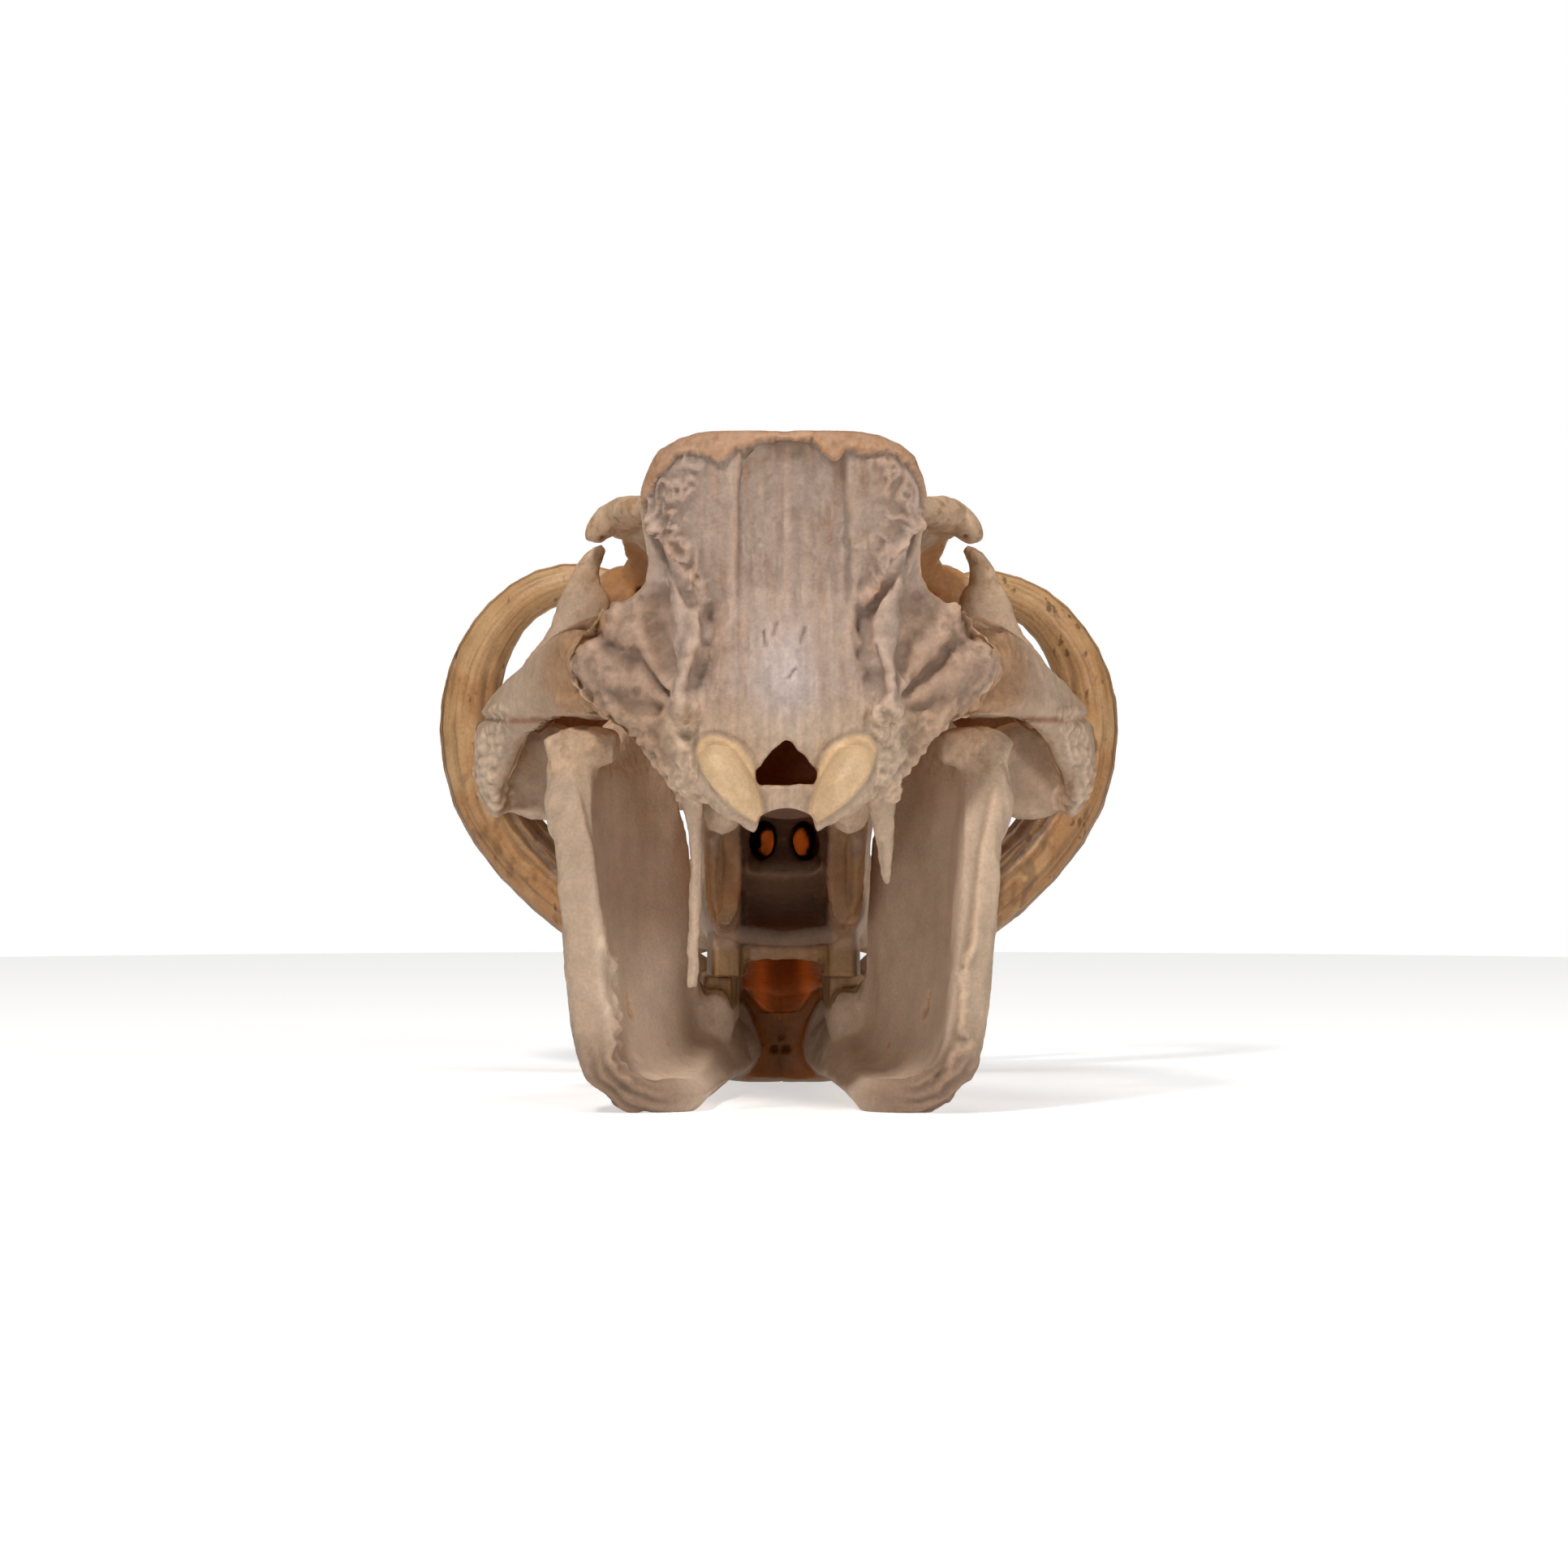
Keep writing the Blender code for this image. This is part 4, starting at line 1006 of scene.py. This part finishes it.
def deep_tint(points, normals, sky, tint):
    """The leaf darker with painted shade in its pit, painted warm and deep shade in the hollows and under the
    arches, painted light on the cheek plates, and a painted orange glow in the eye sockets.
    """
    x, y, z = points.T
    side, facing = np.abs(x), smooth(-normals[:, 1], 0.0, 0.4)
    leaf = within(side, 12, 15, 28, 31) * within(y, 50, 70, 120, 135) * within(z, 50, 56, 86, 92) * facing
    pit = bump(np.hypot((side - LEAF_PIT[0]) / 4.5, (z - LEAF_PIT[1]) / 10), 1.0)
    plate = smooth(side, 62, 70) * smooth(z, 124, 120) * within(y, 60, 75, 110, 125)
    orbit = within(y, 96, 108, 142, 152) * within(side, 40, 45, 58, 64) * within(z, 148, 158, 178, 187)
    under_arch = bump(z - ARCH_EDGE_Z + 0.8, 0.9) * within(side, 60, 64, 90, 92)
    return layered(tint, (
        (LEAF_BONE, 0.8 * leaf),
        # painted shade in the leaf's pit
        (HOLLOW_SHADE, 0.8 * leaf * pit),
        # painted warm shade where little of the sky is seen
        (WARM_SHADE, 0.65 * smooth(sky, 0.45, 0.1)),
        # painted deep shade where almost none of the sky is seen
        (DEEP_SHADE, 0.85 * smooth(sky, 0.14, 0.02)),
        # painted light on the rear faces of the cheek plates
        (PALE_BONE, 0.7 * plate * smooth(-normals[:, 1], 0.3, 0.7)),
        # painted orange glow in the eye socket
        (ORBIT_GLOW, 0.85 * orbit * facing),
        # painted shadow along the underside of the arch's edge
        (DEEP_SHADE, 0.7 * under_arch * smooth(y, 125, 105) * facing),
    ))


def cranium_tint(points, normals, sky, band, corner, holes):
    """Colours of the cranium's bone."""
    x, y, z = points.T
    cloud = rough(points, 22.0, 3, 3.0)
    tint = mixed(plain(BONE, points), PALE_BONE, 0.45 * smooth(cloud, -0.1, 0.9))
    rear = smooth(-normals[:, 1], 0.1, 0.5) * smooth(y, 60, 35)
    hook = smooth(np.abs(x), 42, 50) * smooth(z, 160, 172)
    roof = smooth(normals[:, 2], 0.4, 0.8) * smooth(z, 90, 120)
    speckle = smooth(rough(points, 2.0, 3, 14.0), 0.2, 0.8)
    speckled = np.clip(hook + band + 0.4 * corner + 0.35 * roof, 0, 1)
    tint = layered(shield_tint(points, rear, tint), (
        (TAN_BONE, 0.85 * band),
        (TAN_BONE, 0.5 * corner * smooth(cloud, -0.6, 0.6)),
        (TAN_BONE, 0.5 * roof * (1 - hook)),
        (HOOK_BONE, 0.8 * hook),
        (SPECKLE, 0.55 * speckle * speckled),
        # painted shade on the arch just outside the wing's border
        (WARM_SHADE, 0.55 * behind_wing(points) * rear),
    ))
    # painted shade in the small holes
    return mixed(deep_tint(points, normals, sky, tint), DEEP_SHADE, 0.8 * holes)


# Lower jaw
def lower_teeth(points):
    """1 on the lower cheek teeth and incisors."""
    x, y, z = np.abs(points[:, 0]), points[:, 1], points[:, 2]
    cheek = within(x, 10, 11, 27.5, 28.5) * within(y, 128, 130, 220, 222)
    front = smooth(y, 309, 312) * smooth(z, 27, 29)
    return np.maximum(cheek * smooth(z, 27, 29), front)


def mandible_keep(points):
    """Where the smoothing of the facets is held back."""
    return lower_teeth(points) * 0.8


def mandible_relief(points, normals):
    """Relief of the lower jaw in millimetres outward, and where its light border and its heads are."""
    x, y, z = points.T
    mirror = mirrored(points)
    side, rear = mirror[:, 0], smooth(y, 62, 44)
    from_border = side - read_table(z, RAMUS_EDGE)
    from_border += 1.6 * rough(points, (4, 9, 5.5), 2, 3.0) * smooth(z, 60, 40)
    outside = smooth(from_border, -0.9, 0.9)
    relief = 1.5 * outside * rear * within(z, 6, 14, 96, 104)
    lip = bump(from_border, 1.5) * within(z, 5, 12, 45, 70)
    relief += 1.8 * lip * rear * (1 + 0.9 * rough(points, 3.0, 2))
    low = to_line(mirror, JAW_BORDER)
    waves = np.cos((low + 1.2 * noise(points, 6.0)) * 2 * math.pi / 3.6)
    relief += 0.5 * waves * smooth(z, 24, 14) * smooth(y, 70, 45) * smooth(side, 34, 42) * smooth(low, 14, 9)
    outer = smooth(normals[:, 0] * np.sign(x), 0.3, 0.7) * smooth(y, 110, 80)
    relief += 0.5 * outer * rough(points, (6, 5, 14), 3, 2.0)
    relief += 0.5 * outer * smooth(z, 45, 20) * np.abs(rough(points, (3, 3, 8), 2, 12.0))
    head = smooth(z, 103, 108)
    relief += 0.3 * head * rough(points, 2.2, 3, 4.0)
    relief -= 0.8 * bump(np.hypot(x + 0.6, (z - 13) * 0.5), 3.2) * smooth(y, 195, 190)
    middle_seam = bump(x + 0.5 + 0.5 * noise(points, 3.0), 0.5) * smooth(y, 184, 188)
    relief -= 0.35 * middle_seam * (1 - lower_teeth(points))
    return relief, outside * rear, head


def trough_end(points, normals, worked, bone):
    """Cut the rear end of the tongue's trough down in its middle and raise its corners."""
    x, y = points[:, 0] + JAW_MIDDLE, points[:, 1]
    up = smooth(normals[:, 2], 0.0, 0.4) * bone
    foot = bump(x, 8.5) * within(y, 181, 186, 196, 214)
    shoulder = smooth(np.abs(x), 5, 13) * within(y, 181, 184, 192, 206)
    worked[:, 2] += (SHOULDER_RISE * shoulder - BOWL_DEPTH * foot) * up


def mandible_tint(points, sky, border, head, inner):
    """Colours of the lower jaw's bone, with painted shade and painted light on it, without the trough and the
    teeth.
    """
    x, y, z = points.T
    cloud = rough(points, 18.0, 3, 3.0)
    patch = rough(points, (40, 24, 30), 2, 5.0)
    low_inner = smooth(np.abs(x), 53, 47) * smooth(z, 62, 34) * within(y, 30, 50, 170, 200)
    speckle = smooth(rough(points, 2.0, 3, 14.0), 0.2, 0.9)
    return layered(plain(BONE, points), (
        (PALE_BONE, 0.35 * smooth(cloud, -0.2, 0.8)),
        (PALE_BONE, 0.35 * border),
        # painted warm shade in patches high on the inner faces
        (WARM_SHADE, 0.3 * inner * smooth(patch, -0.4, 0.7) * smooth(z, 40, 60)),
        (HOOK_BONE, 0.8 * head * smooth(cloud, -0.8, 0.4)),
        # painted light on the inner faces
        (BOUNCE_LIGHT_BONE, 0.5 * inner),
        # painted shade, darker towards the bottom of the rear of the jaw
        (SHADE_BONE, 0.9 * (1 - low_inner) * smooth(z, 36, 12) * smooth(y, 90, 60)),
        (SPECKLE, 0.35 * speckle * np.clip(head + 0.15, 0, 1)),
        # painted warm shade where little of the sky is seen
        (WARM_SHADE, 0.3 * smooth(sky, 0.4, 0.1)),
        # painted deep shade where almost none of the sky is seen
        (DEEP_SHADE, 0.5 * smooth(sky, 0.08, 0.02)),
        # painted light low on the inner faces
        (BOUNCE_LIGHT_BONE, 0.9 * low_inner),
    ))


def build_mandible(material):
    """The lower jaw with its relief and colours."""
    piece, points, normals = fine_copy("mandible", BONE_SPACING, mandible_keep, JAW_ROUNDS)
    x, y, z = points.T
    edges = read_edges(piece.data)
    sky = spread(openness(points, normals), edges, SKY_ROUNDS)
    teeth = lower_teeth(points)
    bone = 1 - teeth
    inner = smooth(-normals[:, 0] * np.sign(x), 0.0, 0.6) * smooth(y, 150, 110)
    relief, border, head = mandible_relief(points, normals)
    relief = relief * bone + 0.3 * teeth * tooth_lines(points)
    relief += (0.14 * rough(points, 3.2, 3, 8.0) * (1 - inner) + 0.35 * rough(points, 14.0, 2, 5.0)) * bone
    depth, holes = hole_dents(points, JAW_HOLES)
    relief -= depth
    worked = points + normals * relief[:, None]
    trough_end(points, normals, worked, bone)
    trough = smooth(np.abs(x), 17, 13) * smooth(y, 186, 194) * smooth(normals[:, 2], 0.0, 0.4) * bone
    back_face = smooth(np.abs(x), 16, 12) * smooth(-normals[:, 1], 0.3, 0.7) * within(y, 178, 184, 200, 215)
    notch = bump(np.hypot(x + JAW_MIDDLE, (z - 12) * 0.6), 4.5)
    tint = layered(mandible_tint(points, sky, border, head, inner), (
        # painted orange glow on the floor of the trough
        (BOWL_GLOW, 0.9 * trough),
        # painted warm shade on the back face of the chin
        (CHIN_SHADE, 0.95 * back_face),
        # painted shade round the pits low on the back of the chin
        (STAIN_AND_SHADE, 0.75 * back_face * notch),
        # painted orange glow in the holes towards the back of the jaw
        (FORAMEN_GLOW, 0.85 * holes * smooth(y, 120, 100)),
        # painted shade in the small holes towards the front
        (DEEP_SHADE, 0.85 * holes * smooth(y, 150, 170)),
        (ENAMEL, 0.9 * teeth),
        (STAIN_AND_SHADE, 0.65 * teeth * smooth(tooth_lines(points), 0.3, -0.8)),
    ))
    tint = tint * mixed(cavities(relief, edges)[:, None], (1,), 0.7 * inner)
    sheen = smooth(np.abs(x), 34, 22) * smooth(y, 150, 180) * smooth(z, 34, 18)
    gloss = BONE_GLOSS + 0.45 * teeth + 0.75 * trough + 0.35 * sheen
    # painted glow in the trough: faint all over, a painted highlight in its middle and fainter streaks at its
    # sides
    shine = 0.035 + 1.2 * bump(x - 0.8, 1.5) * bump(y - 190, 5) + 0.1 * bump(np.abs(x - 0.8) - 8, 2.5)
    finish_piece(piece, "mandible", worked, tint, gloss, shine * trough, material)


# Tusks
def section_place(points, side, curl):
    """How far round the curl each point stands, and its angle round the tusk's own section."""
    x = points[:, 0] * side - curl[0]
    z = points[:, 2] - curl[1]
    turn = np.degrees(np.arctan2(z, x))
    reach = np.hypot(x, z)
    marks = np.linspace(turn.min(), turn.max(), TURN_MARKS)
    near = np.clip(np.searchsorted(marks, turn), 1, len(marks) - 1)
    count = np.maximum(np.bincount(near, minlength=len(marks)), 1)
    mid_reach = np.bincount(near, reach, len(marks)) / count
    mid_y = np.bincount(near, points[:, 1], len(marks)) / count
    mid_reach[0], mid_y[0] = mid_reach[1], mid_y[1]
    out = reach - np.interp(turn, marks, mid_reach)
    fore = points[:, 1] - np.interp(turn, marks, mid_y)
    return turn, np.degrees(np.arctan2(fore, out))


def angle_gap(angle, middle):
    """The difference between two angles in degrees, from -180 to 180."""
    return (angle - middle + 180) % 360 - 180


def tusk_tint(points, turn, angle, wander, lengthwise, lines, grooves, stain_share):
    """Pale ivory with brown stains in the grooves, low down and in drops."""
    cloud = rough(points, 13.0, 3, 5.0)
    low = smooth(turn, 30, -30)
    inner = smooth(np.abs(angle_gap(angle, 180)), 100, 50)
    stain = low * inner * smooth(rough(lengthwise, (5, 1.3, 1.3), 3, 8.0), -0.35, 0.35)
    dirt = low * smooth(rough(points, (4, 4, 6), 3, 23.0), 0.0, 0.9)
    drops = smooth(rough(points, (2.4, 2.4, 4.6), 3, 15.0) + 0.3 * noise(points, 20.0), 0.75, 1.05)
    crest = bump(angle_gap(angle + 0.3 * wander, CREST_LINE[0]), CREST_LINE[1])
    tint = mixed(plain(IVORY, points), PALE_IVORY, 0.7 * smooth(cloud, -0.3, 0.8))
    tint = mixed(tint, PALE_IVORY, 0.6 * within(turn, 10, 60, 130, 170))
    for share in (0.85 * stain, 0.45 * dirt, 0.6 * grooves * smooth(turn, 80, -10), 0.7 * drops, 0.7 * crest):
        tint = mixed(tint, IVORY_STAIN, stain_share * share)
    return mixed(tint, IVORY_STAIN, 0.35 * smooth(lines, 0.1, -0.9)), 0.45 + 0.1 * cloud


def build_tusk(name, side, curl, flutes, stain_share, material):
    """One tusk with flutes along it, fine growth lines and brown stains."""
    piece, points, normals = fine_copy(name, TUSK_SPACING, lambda at: np.zeros(len(at)), TUSK_ROUNDS)
    turn, angle = section_place(points, side, curl)
    wander = 6 * noise(points, 16.0)
    relief = np.zeros(len(points))
    grooves = np.zeros(len(points))
    for middle, width, depth in flutes:
        groove = bump(angle_gap(angle + wander, middle), width)
        relief -= depth * groove
        grooves = np.maximum(grooves, groove)
    around = np.radians(angle)
    lengthwise = np.column_stack((turn * 0.12, np.cos(around) * 9, np.sin(around) * 9))
    lines = rough(lengthwise, (2.5, 0.9, 0.9), 3, 2.0)
    relief += 0.16 * lines - 0.16
    relief += 0.14 * rough(points, 5.0, 2, 6.0) - 0.1
    worked = points + normals * relief[:, None]
    tint, gloss = tusk_tint(points, turn, angle, wander, lengthwise, lines, grooves, stain_share)
    glow = np.zeros(len(points))
    finish_piece(piece, name, worked, tint, gloss, glow, material)


# Studio
def seen_level(tree, cast, seen):
    """How bright a surface of the studio is: one level for the light it casts, one for how it looks."""
    ray = add_node(tree, "ShaderNodeLightPath", {}, "Is Camera Ray")
    return add_node(tree, "ShaderNodeMapRange", {"Value": ray, "To Min": cast, "To Max": seen}, "Result")


def pale_floor():
    """A plain pale floor."""
    turns = np.arange(FLOOR_CORNERS) * 2 * math.pi / FLOOR_CORNERS
    rim = [(FLOOR_RADIUS * math.cos(turn), FLOOR_RADIUS * math.sin(turn), 0) for turn in turns]
    mesh = bpy.data.meshes.new("floor")
    mesh.from_pydata(rim, [], [tuple(range(FLOOR_CORNERS))])
    floor = bpy.data.objects.new("floor", mesh)
    bpy.context.scene.collection.objects.link(floor)
    material = bpy.data.materials.new("floor")
    material.use_nodes = True
    tree = material.node_tree
    fill(tree.nodes["Principled BSDF"], {
        "Base Color": (*FLOOR_COLOUR, 1),
        "Roughness": 0.9,
        "Specular IOR Level": 0.1,
        "Emission Color": (1, 1, 1, 1),
        "Emission Strength": seen_level(tree, FLOOR_GLOW, FLOOR_SEEN),
    })
    mesh.materials.append(material)


def area_light(name, place, aim, size, watts, colour):
    """A soft lamp at a place, turned towards a point, both in metres."""
    data = bpy.data.lights.new(name, "AREA")
    data.shape = "DISK"
    data.size = size
    data.energy = watts
    data.color = colour
    lamp = bpy.data.objects.new(name, data)
    lamp.location = place
    lamp.rotation_euler = (Vector(aim) - Vector(place)).to_track_quat("-Z", "Y").to_euler()
    bpy.context.scene.collection.objects.link(lamp)


def studio():
    """Soft white light from all sides, and lamps above and behind the camera."""
    world = bpy.data.worlds.new("studio")
    bpy.context.scene.world = world
    world.use_nodes = True
    level = seen_level(world.node_tree, SKY_LIGHT, SKY_SEEN)
    fill(world.node_tree.nodes["Background"], {"Color": (1, 1, 1, 1), "Strength": level})
    for name, place, size, watts, colour in LAMPS:
        area_light(name, place, LAMP_AIM, size, watts, colour)
    bpy.context.scene.view_settings.view_transform = "Standard"


def photo_camera():
    """The camera of the photograph."""
    data = bpy.data.cameras.new("camera")
    data.sensor_width = SENSOR_WIDTH
    data.lens = FOCAL_PIXELS * SENSOR_WIDTH / IMAGE_PIXELS
    data.clip_start = 0.05
    data.clip_end = 50
    camera = bpy.data.objects.new("camera", data)
    camera.location = ((CAMERA_X + MIDLINE_X) * MM, (BACK_Y - CAMERA_DISTANCE) * MM, CAMERA_HEIGHT * MM)
    middle = IMAGE_PIXELS / 2
    down = (middle - LEVEL_PIXEL) / FOCAL_PIXELS
    right = (middle - AIM_PIXEL) / FOCAL_PIXELS
    camera.rotation_euler = (math.pi / 2 - down, 0, -right)
    bpy.context.scene.collection.objects.link(camera)
    bpy.context.scene.camera = camera


def main():
    """Dress the skull and set up the studio."""
    bone = bone_material("dry_bone", BONE_ROUGHNESS, 0.5)
    ivory = bone_material("stained_ivory", IVORY_ROUGHNESS, 0.15)
    build_cranium(bone)
    build_mandible(bone)
    for side, tag in ((-1, "left"), (1, "right")):
        build_tusk(f"upper_tusk_{tag}", side, UPPER_CURL, FLUTES, 1.0, ivory)
        build_tusk(f"lower_tusk_{tag}", side, LOWER_CURL, FLUTES[:2], 0.4, ivory)
    pale_floor()
    studio()
    photo_camera()


main()
